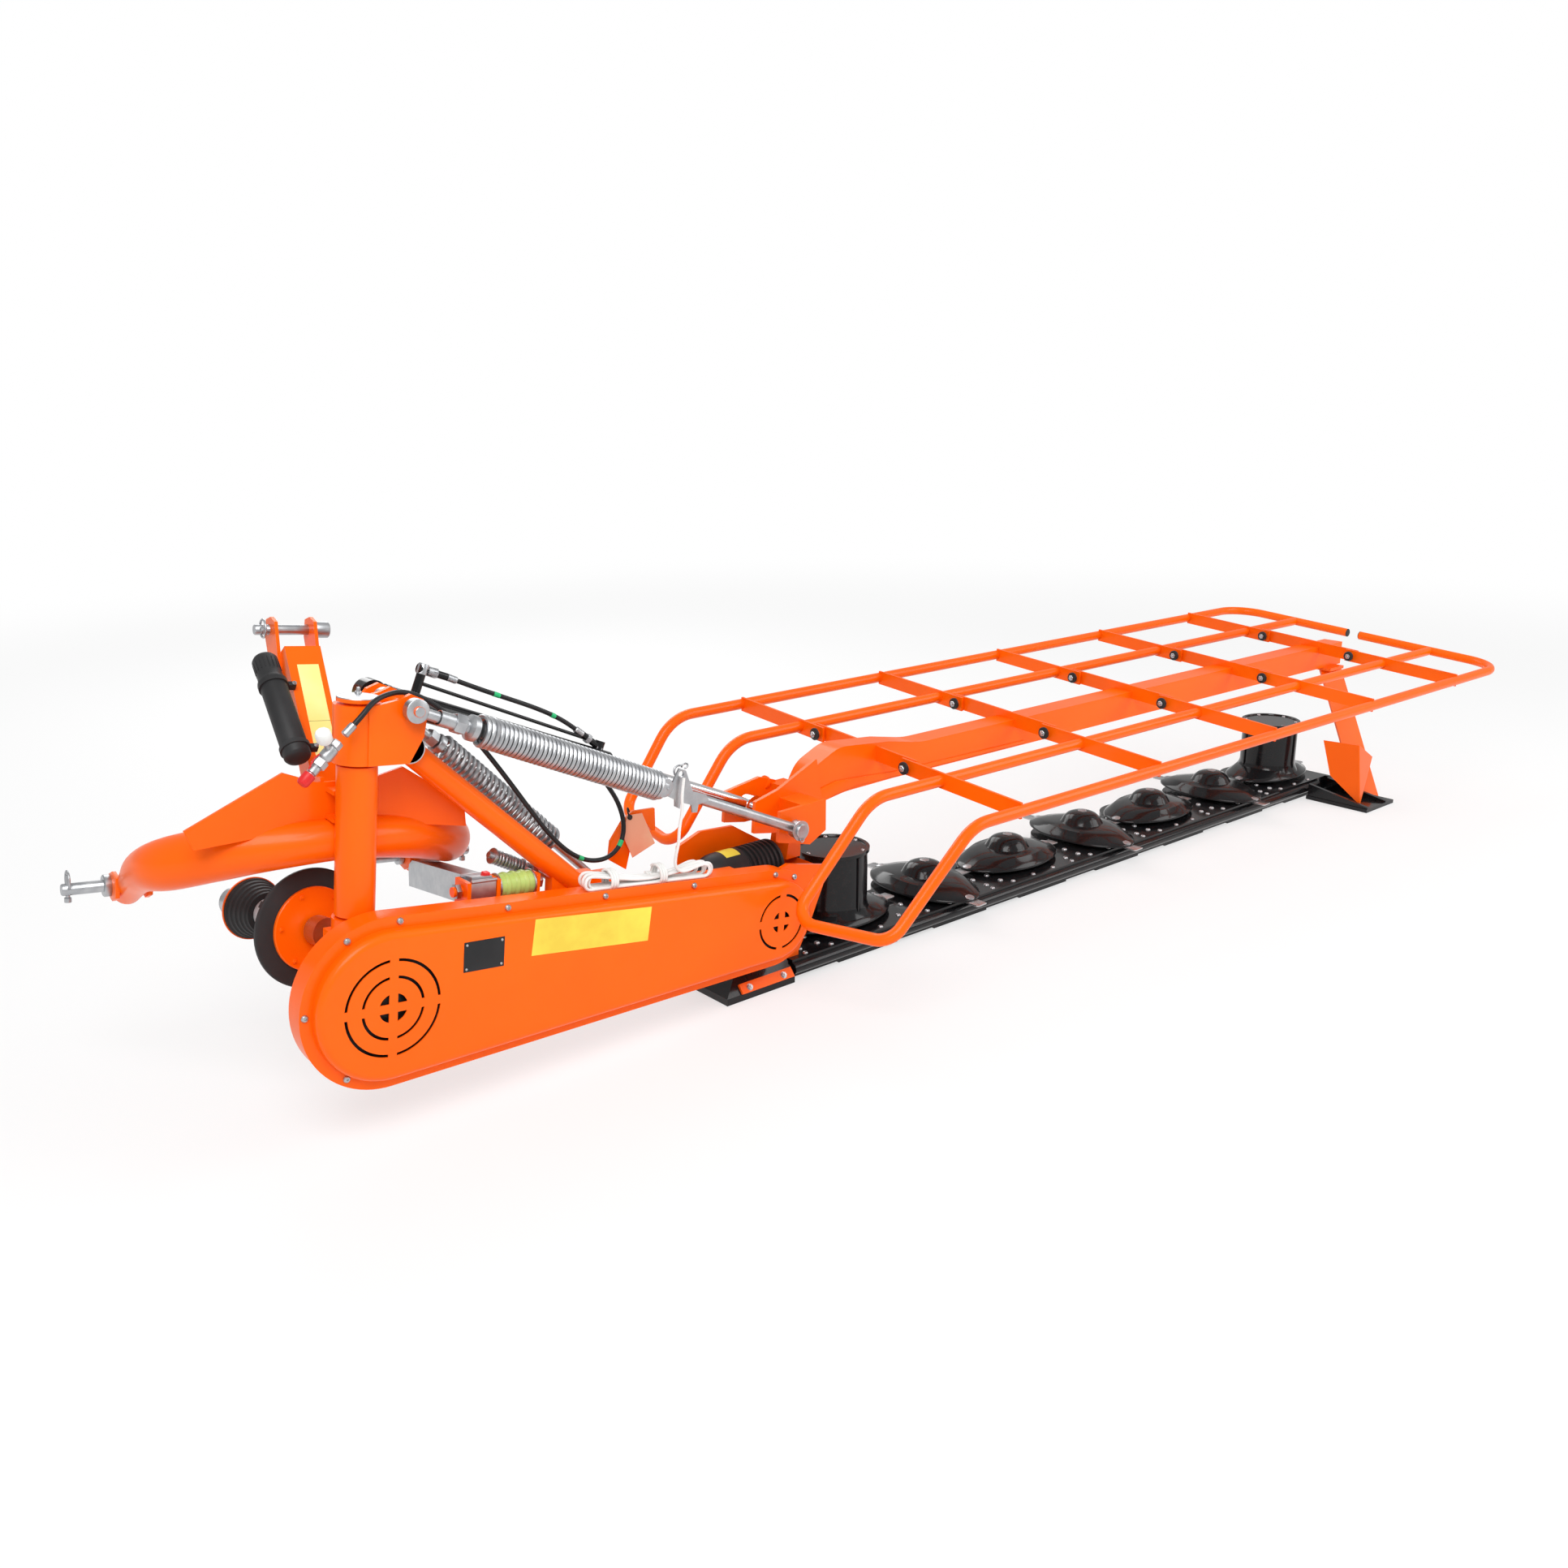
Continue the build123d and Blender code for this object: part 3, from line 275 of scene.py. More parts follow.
def addStudio(floor, glowNear, glowFar, lamps):
    web = paint("paleFloor", Roughness=0.9, Base_Color=floor)
    seen = web.node("ShaderNodeLightPath", out="Is Camera Ray")
    for ray in ("Is Glossy Ray", "Is Transmission Ray"):
        seen = seen + web.node("ShaderNodeLightPath", out=ray)
    reach = web.node("ShaderNodeVectorMath", {"operation": "LENGTH"}, {0: web.place()}, out=1)
    span = {0: reach, 1: glowNear[0], 2: glowFar[0], 3: glowNear[1], 4: glowFar[1]}
    far = web.node("ShaderNodeMapRange", {"interpolation_type": "SMOOTHSTEP"}, span)
    share = web.node("ShaderNodeMath", {"operation": "MULTIPLY", "use_clamp": True}, {0: seen, 1: far})
    matt = Value(web, web.tree.nodes["Principled BSDF"].outputs[0])
    glow = web.node("ShaderNodeEmission")
    web.feed(0, web.node("ShaderNodeMixShader", {}, {0: share, 1: matt, 2: glow}), "Material Output")
    mesh = bpy.data.meshes.new("studioFloor")
    mesh.from_pydata([(-30, -30, 0), (30, -30, 0), (30, 30, 0), (-30, 30, 0)], [], [(0, 1, 2, 3)])
    mesh.materials.append(web.material)
    plane = put("studioFloor", mesh)
    plane.location.z = -0.0005
    world = bpy.data.worlds.new("studioSky")
    world.use_nodes = True
    sky = Web(world.node_tree)
    sky.tree.nodes["Background"].inputs["Color"].default_value = (1, 1, 1, 1)
    sky.feed("Strength", 0.55 + 0.45 * sky.node("ShaderNodeLightPath", out="Is Camera Ray"), "Background")
    scene.world = world
    for name, spot, aim, size, power in lamps:
        lamp = bpy.data.lights.new(name, "AREA")
        lamp.energy, lamp.size = power, size
        holder = put(name, lamp)
        holder.location = spot
        holder.rotation_euler = (Vector(aim) - Vector(spot)).to_track_quat("-Z", "Y").to_euler()
    scene.view_settings.view_transform = "Standard"


addStudio(**studio)
print("studio set")


def heading(points, index):
    return (points[min(index + 1, len(points) - 1)] - points[max(index - 1, 0)]).normalized()


def around(count):
    return [turn * tau / count for turn in range(count)]


def spokes(along, count, start=0):  # directions round an axis
    spoke = along.orthogonal().normalized()
    return [Matrix.Rotation(angle + start, 3, along) @ spoke for angle in around(count)]


def compass(angle):
    return Vector((cos(angle), sin(angle), 0))


def beside(way):
    return Vector((-way.y, way.x, 0))


def patch(at, first, second, spots):  # spots in mm along two directions
    return [at + (first * a + second * b) / 1000 for a, b in spots]


def square(left, right, low, high):
    return [(left, low), (right, low), (right, high), (left, high)]


def nut(inner, size, edge, high):  # half a hex nut's section, for lathe with 6 sides
    return [(inner, 0), (size - 0.5, 0.6), (size, 2), (size, edge), (size - 1, high), (inner, high)]


# Mesh parts gathered for one piece
class Shape:
    def __init__(self):
        self.mesh = bmesh.new()

    def row(self, points):
        return [self.mesh.verts.new(point) for point in points]

    def ring(self, at, across, up, radius, sides):
        return self.row(at + radius * (cos(angle) * across + sin(angle) * up) for angle in around(sides))

    def skin(self, first, second):
        corners = zip(first, first[1:] + first[:1], second[1:] + second[:1], second)
        return [self.mesh.faces.new(face) for face in corners]

    def sheet(self, rows):
        for first, second in zip(rows, rows[1:]):
            for face in zip(first, first[1:], second[1:], second):
                self.mesh.faces.new(face)
        return self

    def close(self, rings, hollow=False):
        for first, second in zip(rings, rings[1:]):
            self.skin(first, second)
        if hollow:
            self.skin(rings[-1], rings[0])
        else:
            self.mesh.faces.new(rings[0][::-1])
            self.mesh.faces.new(rings[-1])
        return self

    def lathe(self, profile, at, along, sides=32, hollow=False):  # profile: radius and height in mm
        along = along.normalized()
        across = along.orthogonal().normalized()
        up = along.cross(across)
        rings = []
        for reach, high in profile:
            rings.append(self.ring(at + along * high / 1000, across, up, max(reach, 0.01) / 1000, sides))
        return self.close(rings, hollow)

    def tube(self, points, radius, sides=12):
        across = None
        rings = []
        for index, point in enumerate(points):
            way = heading(points, index)
            across = (way.orthogonal() if across is None else across - way * across.dot(way)).normalized()
            rings.append(self.ring(point, across, way.cross(across), radius / 1000, sides))
        return self.close(rings)

    def coil(self, start, end, radius, wire, turns, steps=22):
        way = (end - start).normalized()
        across = way.orthogonal().normalized()
        up = way.cross(across)
        points = []
        for step in range(int(turns * steps) + 1):
            angle = step * tau / steps
            spoke = cos(angle) * across + sin(angle) * up
            points.append(start + (end - start) * (step / (turns * steps)) + radius / 1000 * spoke)
        return self.tube(points, wire, 8)

    def plate(self, corners, depth, rim=1.5):  # corners in order, depth a vector in mm
        first = self.row(corners)
        second = self.row(corner + depth / 1000 for corner in corners)
        made = [self.mesh.faces.new(first[::-1]), self.mesh.faces.new(second), *self.skin(first, second)]
        if rim:
            edges = list({edge for face in made for edge in face.edges})
            bmesh.ops.bevel(self.mesh, geom=edges, offset=rim / 1000, segments=2, affect="EDGES", profile=0.6)
        return self

    def wall(self, place, y, outline, depth, rim=1.5):
        return self.plate([place(x, y, z) for x, z in outline], depth, rim)

    def sized(self, profile, size, at, along, sides):  # a profile in shares of a size
        return self.lathe([(reach * size, high * size) for reach, high in profile], at, along, sides)

    def bolt(self, at, along, size, washer=True):
        foot = 0.16 if washer else 0
        if washer:
            edge = [(size * 1.05, -0.5), (size * 1.1, 0.4), (size * 1.05, size * 0.16), (0, size * 0.16)]
            self.lathe(edge, at, along, 20)
        head = [(0.9, foot), (0.92, foot + 0.42), (0.8, foot + 0.55), (0, foot + 0.56)]
        self.sized(head, size, at, along, 6)
        end = [(0.42, foot), (0.42, foot + 0.85), (0.34, foot + 0.95), (0, foot + 0.95)]
        return self.sized(end, size, at, along, 12)

    def button(self, at, along, size):
        head = [(0.96, 0.25), (0.7, 0.55), (0.3, 0.62), (0.28, 0.35), (0, 0.35)]
        return self.sized([(1, -0.3 / size)] + head, size, at, along, 14)

    def done(self, name, finish="zinc", body="carrier", instead=None, smooth=38):
        bmesh.ops.remove_doubles(self.mesh, verts=self.mesh.verts, dist=1e-6)
        bmesh.ops.recalc_face_normals(self.mesh, faces=self.mesh.faces)
        data = bpy.data.meshes.new(name)
        self.mesh.to_mesh(data)
        self.mesh.free()
        data.shade_smooth()
        data.set_sharp_from_angle(angle=radians(smooth))
        data.materials.append(paints[finish].material)
        piece = put(name, data)
        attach(piece, body)
        if instead:
            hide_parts(instead)
        return piece


# A smooth run through the values, which may be numbers or vectors
def smoothPath(values, steps):
    made = []
    for index in range(len(values) - 1):
        before, first = values[max(index - 1, 0)], values[index]
        second, after = values[index + 1], values[min(index + 2, len(values) - 1)]
        for step in range(steps):
            t = step / steps
            bend = (2 * before - 5 * first + 4 * second - after) * t * t
            twist = (3 * first - before - 3 * second + after) * t ** 3
            made.append(0.5 * (2 * first + (second - before) * t + bend + twist))
    return made + [values[-1]]


# The cylinder and the relief link have frames of their own, from the ears downward
ears = (-1045, 612)


def linkage(y, angle):
    base = carrier(ears[0], y, ears[1])
    out = Vector((cos(angle), 0, -sin(angle)))
    above = Vector((sin(angle), 0, cos(angle)))

    def place(x, side, z):
        return base + (out * x + Vector((0, side, 0)) + above * z) / 1000

    return place


lift = linkage(52, radians(23.8118))
link = linkage(-176, radians(24.7316))
liftOut = lift(1, 0, 0) - lift(0, 0, 0)
liftUp = lift(0, 0, 1) - lift(0, 0, 0)


# Hoses and rope: each follows the route of its solid, and the hank is more of the rope's own line
liftHose = {
    "route": [(174, 0, 88), (250, 0, 84.5), (335, 0, 83), (420, 0, 82), (490, 0, 77), (545, 0, 67),
              (590, 0, 53)],
    "length": 0.419, "bands": (0.3, 0.72), "bandSpan": 26, "ferrule": (9, 25),
}
supplyHose = {
    "route": [(-470, -30, 404), (-446, -52, 366), (-423, -70, 321), (-412, -82, 268), (-427, -90, 219),
              (-468, -94, 191), (-524, -95, 191), (-580, -95, 217), (-634, -95, 263), (-688, -95, 325),
              (-742, -95, 392), (-802, -95, 464), (-868, -95, 538), (-940, -97, 594), (-1000, -106, 630),
              (-1052, -122, 646), (-1098, -142, 644), (-1136, -160, 634), (-1168, -172, 604),
              (-1204, -172, 568)],
    "length": 1.219, "bands": (0.16, 0.27), "bandSpan": 22, "ferrule": (9.2, 27),
}
hank = {
    "left": -588, "right": -226, "y": -184, "foot": 137.6, "slope": -0.0286, "ties": (-520, -372),
    "slots": (-16.5, -8.2, 0, 8.2, 16.5), "stagger": ((0, 16, 6, 24, 10), (14, 0, 20, 6, 26)),
    # one turn: share of its run and mm past it, height, drift to the next slot, and fan
    "turn": (
        (1, -14, 33.3, 0, 1.1), (1, 5.4, 33.3, 0, 1.12), (1, 14.2, 26.9, 0, 1.14), (1, 17.5, 16.6, 0, 1.14),
        (1, 14.2, 6.3, 0, 1.12), (1, 5.4, 0, 0, 1.1), (1, -16, 0, 0, 1.05), (0.75, 0, 0, 0, 1),
        (0.5, 0, 0, 0, 1), (0.25, 0, 0, 0, 1), (0, 16, 0, 0, 1.1), (0, -5.4, 0, 0, 1.18),
        (0, -14.2, 6.3, 0, 1.23), (0, -17.5, 16.6, 0, 1.25), (0, -14.2, 26.9, 0.03, 1.23),
        (0, -5.4, 33.3, 0.06, 1.18), (0, 16, 32, 0.12, 1.1), (0.24, 0, 20, 0.3, 1.05),
        (0.42, 0, 10.5, 0.5, 1), (0.6, 0, 10.5, 0.7, 1), (0.78, 0, 20, 0.9, 1.05),
    ),
}
ropeRoute = [(-331, -209, 414), (-335, -210, 372), (-330, -211, 330), (-336, -210, 286), (-332, -207, 244),
             (-337, -203, 206), (-333, -201, 178), (-306, -201, 163)]


def addCord(name, points, diameter, finish, body, instead):
    curve = bpy.data.curves.new(name, "CURVE")
    curve.dimensions = "3D"
    curve.bevel_depth = 1  # times each point's radius, which the bounds are taken from too
    curve.bevel_resolution = 5
    curve.resolution_u = 8
    curve.use_fill_caps = True
    spline = curve.splines.new("NURBS")
    spline.points.add(len(points) - 1)
    for knot, point in zip(spline.points, points):
        knot.co = (*point, 1)
        knot.radius = diameter / 2
    spline.order_u = 3
    spline.use_endpoint_u = True
    curve.materials.append(paints[finish].material)
    piece = put(name, curve)
    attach(piece, body)
    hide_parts(*instead)
    return piece


def linePoints(piece):  # on a cord's middle line
    depth = piece.data.bevel_depth
    piece.data.bevel_depth = 0
    line = bpy.data.meshes.new_from_object(piece)
    piece.data.bevel_depth = depth
    points = [corner.co.copy() for corner in line.vertices]
    bpy.data.meshes.remove(line)
    return points


def stretch(points, start, span):  # the part of a line from a share of its length on, span in mm
    spans = [(b - a).length for a, b in zip(points, points[1:])]
    begin = start * sum(spans)
    picked, gone = [], 0
    for point, length in zip(points, spans + [0]):
        if begin <= gone <= begin + span / 1000:
            picked.append(point)
        gone += length
    return picked


def hankPoints(left, right, y, foot, slope, slots, stagger, turn, **_):
    points = []
    for number, slot in enumerate(slots):
        last = slot == slots[-1]
        after = slot if last else slots[number + 1]
        start = left + stagger[0][number]
        end = right - stagger[1][number]
        for share, past, high, drift, fan in turn[:-1] if last else turn:
            u = start + (end - start) * share + past
            points.append((u, y + (slot + (after - slot) * drift) * fan, foot + slope * u + high))
    return points


def addHose(name, place, body, facts, instead, fittings):
    diameter = 0.012
    route = [place(*point) for point in facts["route"]]
    hose = addCord(name, route, diameter, "hose", body, [instead])
    line = linePoints(hose)
    bands = Shape()
    for share in facts["bands"]:
        bands.tube(stretch(line, share, facts["bandSpan"]), 6.5, 16)
    bands = bands.done(name + "Bands", "green", body)
    reach, end = facts["ferrule"]
    ferrule = [(6.5, -2), (reach, 0), (reach + 0.4, 3), (reach - 0.4, 6), (reach + 0.2, 9), (reach - 0.4, 13),
               (reach + 0.2, 17), (reach - 0.2, end), (6.6, end + 2)]
    ends = Shape()
    for first, second in ((line[0], line[3]), (line[-1], line[-4])):
        ends.lathe(ferrule, first, second - first, 24)
    ends = ends.done(name + "Ends", "zinc", body)
    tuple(route[0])
    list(fittings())


def addRope():
    diameter = 0.008
    route = [carrier(*point) for point in ropeRoute + hankPoints(**hank)]
    rope = addCord("tripRope", route, diameter, "white", "carrier", ["trip_rope", "rope_hank"])
    line = linePoints(rope)
    total = round(sum((b - a).length for a, b in zip(line, line[1:])), 3)
    print("rope of", total, "m")
    ties = Shape()
    for u in hank["ties"]:
        middle = carrier(u, hank["y"], hank["foot"] + hank["slope"] * u + 16)
        ties.coil(middle - carrierOut * 11, middle + carrierOut * 11, 25, 3.6, 3)
    ties = ties.done("hankTies", "white", "carrier")
    end, back = line[-1], (line[-6] - line[-1]).normalized()
    knot = Shape()
    knot.coil(end + back * 0.017, end + back * 0.001, 6.4, 3.7, 2)
    knot.lathe([(0, -5), (3, -4.4), (4.2, -2), (4.2, 18)], end, back, 16)
    knot = knot.done("ropeKnot", "white", "carrier")
    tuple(route[0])


# Coupling at the supply hose's far end, with its lever valve and a red cap on a strap
coupling = {
    "axis": ((-1204, -172, 568), (-1308, -192, 470)),
    "lever": ((-1241, -179, 533), (-1258, -197, 565)),
    "knob": ((-1256, -195, 561), (-1270, -209, 587)),
    "sections": (
        (6, [(8, 20), (12, 21), (13, 24), (13, 36), (12, 38), (10, 39)]),
        (24, [(10, 38), (14, 40), (14.5, 44), (14.5, 66), (12, 70), (11, 72)]),
        (6, [(11, 72), (15.5, 73), (16, 75), (16, 88), (15.5, 90), (10, 91)]),
        (28, [(10, 90), (11, 92), (11, 108), (9, 110), (9, 116), (11, 118), (11, 132), (9.5, 138), (0, 139)]),
    ),
    "strap": ((3, 12), (-14, 21), (-32, 19)),
}


def addCoupling(axis, lever, knob, sections, strap):
    start, end = (carrier(*spot) for spot in axis)
    along = (end - start).normalized()
    metal = Shape()
    for sides, profile in sections:
        metal.lathe(profile, start, along, sides)
    foot, tip = (carrier(*spot) for spot in lever)
    metal.lathe([(6, 0), (6, 30), (8, 30), (8, 34), (5, 35)], foot, tip - foot, 16)
    foot, tip = (carrier(*spot) for spot in knob)
    top = Shape().lathe([(8, 0), (15, 2), (17, 6), (17, 24), (14, 29), (0, 30)], foot, tip - foot, 9)
    cap = Shape()
    foot = start + along * 0.112
    cap.lathe([(11.6, 0), (13.4, 1), (13.6, 4), (13, 24), (10, 28), (0, 29)], foot, along, 28)
    cap.tube(smoothPath(patch(foot, along, upward, strap), 6), 1.8, 8)
    return [
        metal.done("couplingBody", "zinc", "carrier", "hose_coupling"),
        top.done("couplingKnob", "white", "carrier", "hose_coupling"),
        cap.done("couplingCap", "red", "carrier", "hose_coupling"),
    ]


addHose("liftHose", lift, "lift_barrel", liftHose, "lift_hose", lambda: [nodes["lift_hose_ports"]])
addHose("supplyHose", carrier, "carrier", supplyHose, "supply_hose",
        lambda: [nodes["hose_elbow"], *addCoupling(**coupling)])
addRope()
print("hoses and rope laid")


# Belt guard: screws round its rim, the nameplate and the blank decal
guard = {
    "face": -250, "flange": -218, "screwSize": 8.5,
    "rimScrews": [(-1092, 156), (-1213, 128), (-1305, -29), (-1209, -188), (-824, 148), (-554, 139),
                  (-282, 130), (-7, 124), (61, 110)],
    "plate": (-951, -848, 22, 93),
    "decal": [(-775, 33), (-442, 18), (-436, 105), (-768, 121)],
}


def dressGuard(face, flange, screwSize, rimScrews, plate, decal):
    screws = Shape()
    for u, w in rimScrews:
        screws.button(carrier(u, flange - 0.2, w), backward, screwSize)
    screws.done("guardScrews")
    sign = Shape().wall(carrier, face + 0.3, square(*plate), backward * 1.3, 0.4)
    sign.done("nameplate", "sign", "carrier")
    rivets = Shape()
    left, right, low, high = plate
    for u in (left + 7, right - 7):
        for w in (low + 7, high - 7):
            rivets.button(carrier(u, face - 1, w), backward, 3.4)
    rivets.done("nameplateRivets")
    Shape().wall(carrier, face + 0.2, decal, backward * 0.5, 0).done("guardDecal", "yellow", "carrier")


dressGuard(**guard)
print("guard dressed")


# Float spring and relief spring: real coils in place of the plain solids
floatSpring = {
    "foot": (-470, 132), "y": -24, "first": 0.24, "last": 0.78, "radius": 29, "wire": 5, "turns": 26,
}
reliefSpring = {"pin": (-692, 447), "y": -176, "reach": (164, 694), "radius": 33, "wire": 5.5, "turns": 44}


def addFloatSpring(foot, y, first, last, radius, wire, turns):
    def at(share):
        return carrier(ears[0] + share * (foot[0] - ears[0]), y, ears[1] + share * (foot[1] - ears[1]))

    along = at(1) - at(0)
    coil = Shape().coil(at(first), at(last), radius, wire, turns)
    rods = Shape()
    rods.lathe([(24, -11), (26, -9), (26, 9), (24, 11)], at(0), ahead, 28)
    rods.tube([at(0.04), at(first + 0.02)], 11)
    rods.lathe([(20, 0), (21, 3), (21, 22), (19, 24)], at(first - 0.055), along, 6)
    rods.lathe([(23, 0), (25, 3), (25, 16), (12, 24)], at(first - 0.02), along, 24)
    rods.lathe([(12, -20), (25, -10), (25, 6), (14, 10)], at(last), along, 24)
    rods.tube([at(last), at(0.985)], 11)
    coil.done("floatCoil", "zinc", "carrier", "float_springs")
    rods.done("floatRods", "zinc", "carrier", "float_springs")


# The rod's parts are hollow: the relief tube runs through them when the bar lifts
def addReliefSpring(pin, y, reach, radius, wire, turns):
    base = carrier(ears[0], y, ears[1])
    along = (layout(pin[0], y, pin[1]) - base).normalized()
    near, far = (base + along * span / 1000 for span in reach)
    coil = Shape().coil(near, far, radius, wire, turns)
    coil.done("reliefCoil", "zinc", "relief_spring", "relief_spring")
    rod = Shape()
    rod.lathe([(24, -12), (27, -10), (27, 10), (24, 12)], base, ahead, 28)
    rod.tube([base + along * 0.024, base + along * 0.058], 13)
    hexNut = [(17, 0), (22, 0), (24, 3), (24, 26), (22, 28), (17, 28)]
    rod.lathe(hexNut, near - along * 0.07, along, 6, hollow=True)
    end = (far - near).length * 1000 + 10
    for at, profile in (
        (near - along * 0.036, [(15.5, 0), (30, 8), (30, 22), (15.5, 40)]),
        (near, [(15.5, -108), (17.5, -108), (17.5, end), (15.5, end)]),
        (far, [(15.5, -14), (18, -14), (33, -8), (33, 10), (20, 13), (15.5, 13)]),
    ):
        rod.lathe(profile, at, along, 26, hollow=True)
    rod.done("reliefRod", "zinc", "relief_spring", "relief_spring")


addFloatSpring(**floatSpring)
addReliefSpring(**reliefSpring)
print("springs wound")


# Discs: dished ovals with a hub dome or a drum, two raised crescents, blades and their bolts
disc = {
    "long": 205, "short": 132, "neck": 74, "drum": (106, 290), "blade": (190, 250, 4.6),
    "dish": [(1, 74), (1, 77), (0.985, 81), (0.9, 86), (0.78, 98), (0.66, 108), (0.57, 113)],
    "hub": [(74, 113), (70, 118), (62, 132), (50, 143), (36, 149), (20, 152), (0, 152)],
}


def addDisc(number, long, short, neck, drum, blade, dish, hub):
    node = f"disc_{number}"
    centre = layout((number - 2) * 400, 0, 0)
    axis = compass((number + 1) % 2 * pi / 2)
    drummed = number in (1, 7)
    shell = Shape()
    rings = []
    for share, high in dish:
        rim = []
        for angle in around(96):
            crescent = ((abs(sin(angle)) - 1) / 0.35) ** 2 + ((share - 0.8) / 0.1) ** 2
            x = long * share * (1 + 0.035 * cos(2 * angle) * (share - 0.5)) * cos(angle)
            y = short * share * sin(angle)
            if share < 0.7:  # the oval rounds off into its neck
                squeeze = (share - 0.57) / 0.13
                x = (1 - squeeze) * neck * cos(angle) + squeeze * x
                y = (1 - squeeze) * neck * sin(angle) + squeeze * y
            rim.append((x, y, high + 9 * exp(-crescent)))
        rings.append(shell.row(centre + (axis * x + beside(axis) * y + upward * z) / 1000 for x, y, z in rim))
    shell.close(rings)
    blades = Shape()
    bolts = Shape()
    inner, tip, thick = blade
    outline = [(inner - 14, -12), (inner - 6, -20), (inner + 8, -22), (tip - 6, -22), (tip - 0.5, -17),
               (tip - 3, 21), (inner + 4, 22), (inner - 10, 16)]
    for way in (axis, -axis):
        blades.plate(patch(centre + upward * 0.0692, way, beside(way), outline), upward * thick, 0.8)
        bolts.lathe([(19, 78), (19, 82), (13, 85), (8, 87), (0, 87)], centre + way * inner / 1000, upward, 20)
    if drummed:
        reach, top = drum
        shell.lathe([
            (reach + 14, 92), (reach + 3, 112), (reach, 124), (reach, top - 12), (reach + 6, top - 10),
            (reach + 6, top), (reach - 4, top), (reach - 6, top - 4), (0, top - 4),
        ], centre, upward, 64)
        rib = square(reach - 4, reach + 5, -5, 5)
        for angle in around(3):
            way = compass(angle + 0.6)
            shell.plate(patch(centre + upward * 0.11, way, beside(way), rib), upward * (top - 122), 1)
        for angle in around(6):
            bolts.button(centre + compass(angle) * 0.096 + upward * 0.286, upward, 7)
    else:
        shell.lathe(hub, centre, upward, 48)
        bolts.lathe([(17, 150), (17, 154), (11, 156), (0, 156)], centre, upward, 6)
    shell.done(f"discShell{number}", "black", node, node)
    blades.done(f"discBlades{number}", "steel", node, node)
    bolts.done(f"discBolts{number}", "zinc", node, node)


for number in range(1, 8):
    addDisc(number, **disc)
print("discs made")


# Gear bed: rows of flush bolts between the discs and along the rear edge
bed = {
    "rear": -150, "rows": (-118, -60, 60), "pitch": 100, "start": -640, "end": 2140, "top": 59.6, "size": 8,
}


def addBedBolts(rear, rows, pitch, start, end, top, size):
    bolts = Shape()
    for x in range(start, end, pitch):
        bolts.button(layout(x, rear, top), upward, size)
    for middle in range(-600, 2201, 400):
        for x in (middle - 34, middle + 34):
            for y in rows:
                if start < x < end:
                    bolts.button(layout(x, y, top), upward, size + 1)
    bolts.done("bedBolts", "zinc", "cutter_bar")


# Hoop pivots: rubber-bushed bolts through arm and rib
pivots = {"first": -252, "pitch": 629.5, "count": 5, "rows": (213, -172), "plane": 556, "slope": 0.0745}


def addHoopPivots(first, pitch, count, rows, plane, slope):
    heads = Shape()
    bushes = Shape()
    for k in range(count):
        for y in rows:
            for out, bush, head in ((-1, -24, -31), (1, 8, 16)):
                x, z, way = first + k * pitch, plane + slope * y, Vector((out, 0, 0))
                bushes.lathe([(17, 0), (19, 2), (19, 7), (16, 9)], layout(x + bush, y, z), way, 24)
                heads.bolt(layout(x + head, y, z), way, 11)
    bushes.done("pivotBushes", "plastic", "cutter_bar")
    heads.done("pivotBolts", "zinc", "cutter_bar")


addBedBolts(**bed)
addHoopPivots(**pivots)
print("cutter bar dressed")


def addRing(shape, at, axis, turn, radius, wire=2.6):  # an open wire ring
    side = axis.cross(turn).normalized()
    angles = [-2.5 + step * 5 / 28 for step in range(29)]
    points = [at + (turn * cos(angle) + side * sin(angle)) * radius / 1000 for angle in angles]
    return shape.tube(points, wire, 10)


def addLinchPin(shape, at, along, down):
    shape.lathe([(4.6, -34), (5, -33), (5, 18), (8, 20), (8, 30), (0, 31)], at, down, 16)
    return addRing(shape, at - down * 0.022, along, -down, 21)


def addSplitPin(shape, at, along, cross):
    shape.tube([at - cross * 0.019, at + cross * 0.016], 2, 8)
    return addRing(shape, at - cross * 0.024, along, -cross, 6.5, 1.7)


# Headstock: hitch pins, mast decal, document tube and the shouldered cross tube
hitch = {
    "top": {"at": (436, 720), "start": -84, "span": 176, "collar": (52, 40, 20)},
    "lower": {"at": (488, 118), "shoulder": 412.5, "out": 88, "inner": 233},
}


def addHitchPins(top, lower):
    q, w = top["at"]
    span = top["span"]
    pin = Shape()
    pin.lathe([(11, 0), (12.5, 2), (12.5, span - 2), (11, span)], headstock(top["start"], q, w), across, 32)
    start, high, reach = top["collar"]
    collar = [(12.6, 0), (18.5, 0), (reach, 2), (reach, high - 3), (17, high), (12, high)]
    pin.lathe(collar, headstock(start, q, w), across, 36)
    addLinchPin(pin, headstock(-70, q, w), across, (onward * 0.95 - postUp * 0.24).normalized())
    pin.done("topPinDress", "zinc", "headstock", "top_link_pin")
    q, w = lower["at"]
    shoulder = lower["shoulder"]
    end = shoulder + lower["out"]
    span = end - lower["inner"]
    pins = Shape()
    for side in (-1, 1):
        for p, profile, sides in (
            (lower["inner"], [(12, 0), (14, 2), (14, span - 3), (12, span)], 32),
            (shoulder - 20, [(14, 0), (25, 0), (26, 1.5), (26, 18), (24, 20), (14, 20)], 36),
            (300, [(14, 0), (23, 0), (23, 12), (14, 12)], 36),
        ):
            pins.lathe(profile, headstock(side * p, q, w), across * side, sides)
        addLinchPin(pins, headstock(side * (end - 14), q, w), across * side, -postUp)
    pins.done("lowerPinDress", "zinc", "headstock", "lower_hitch_pins")


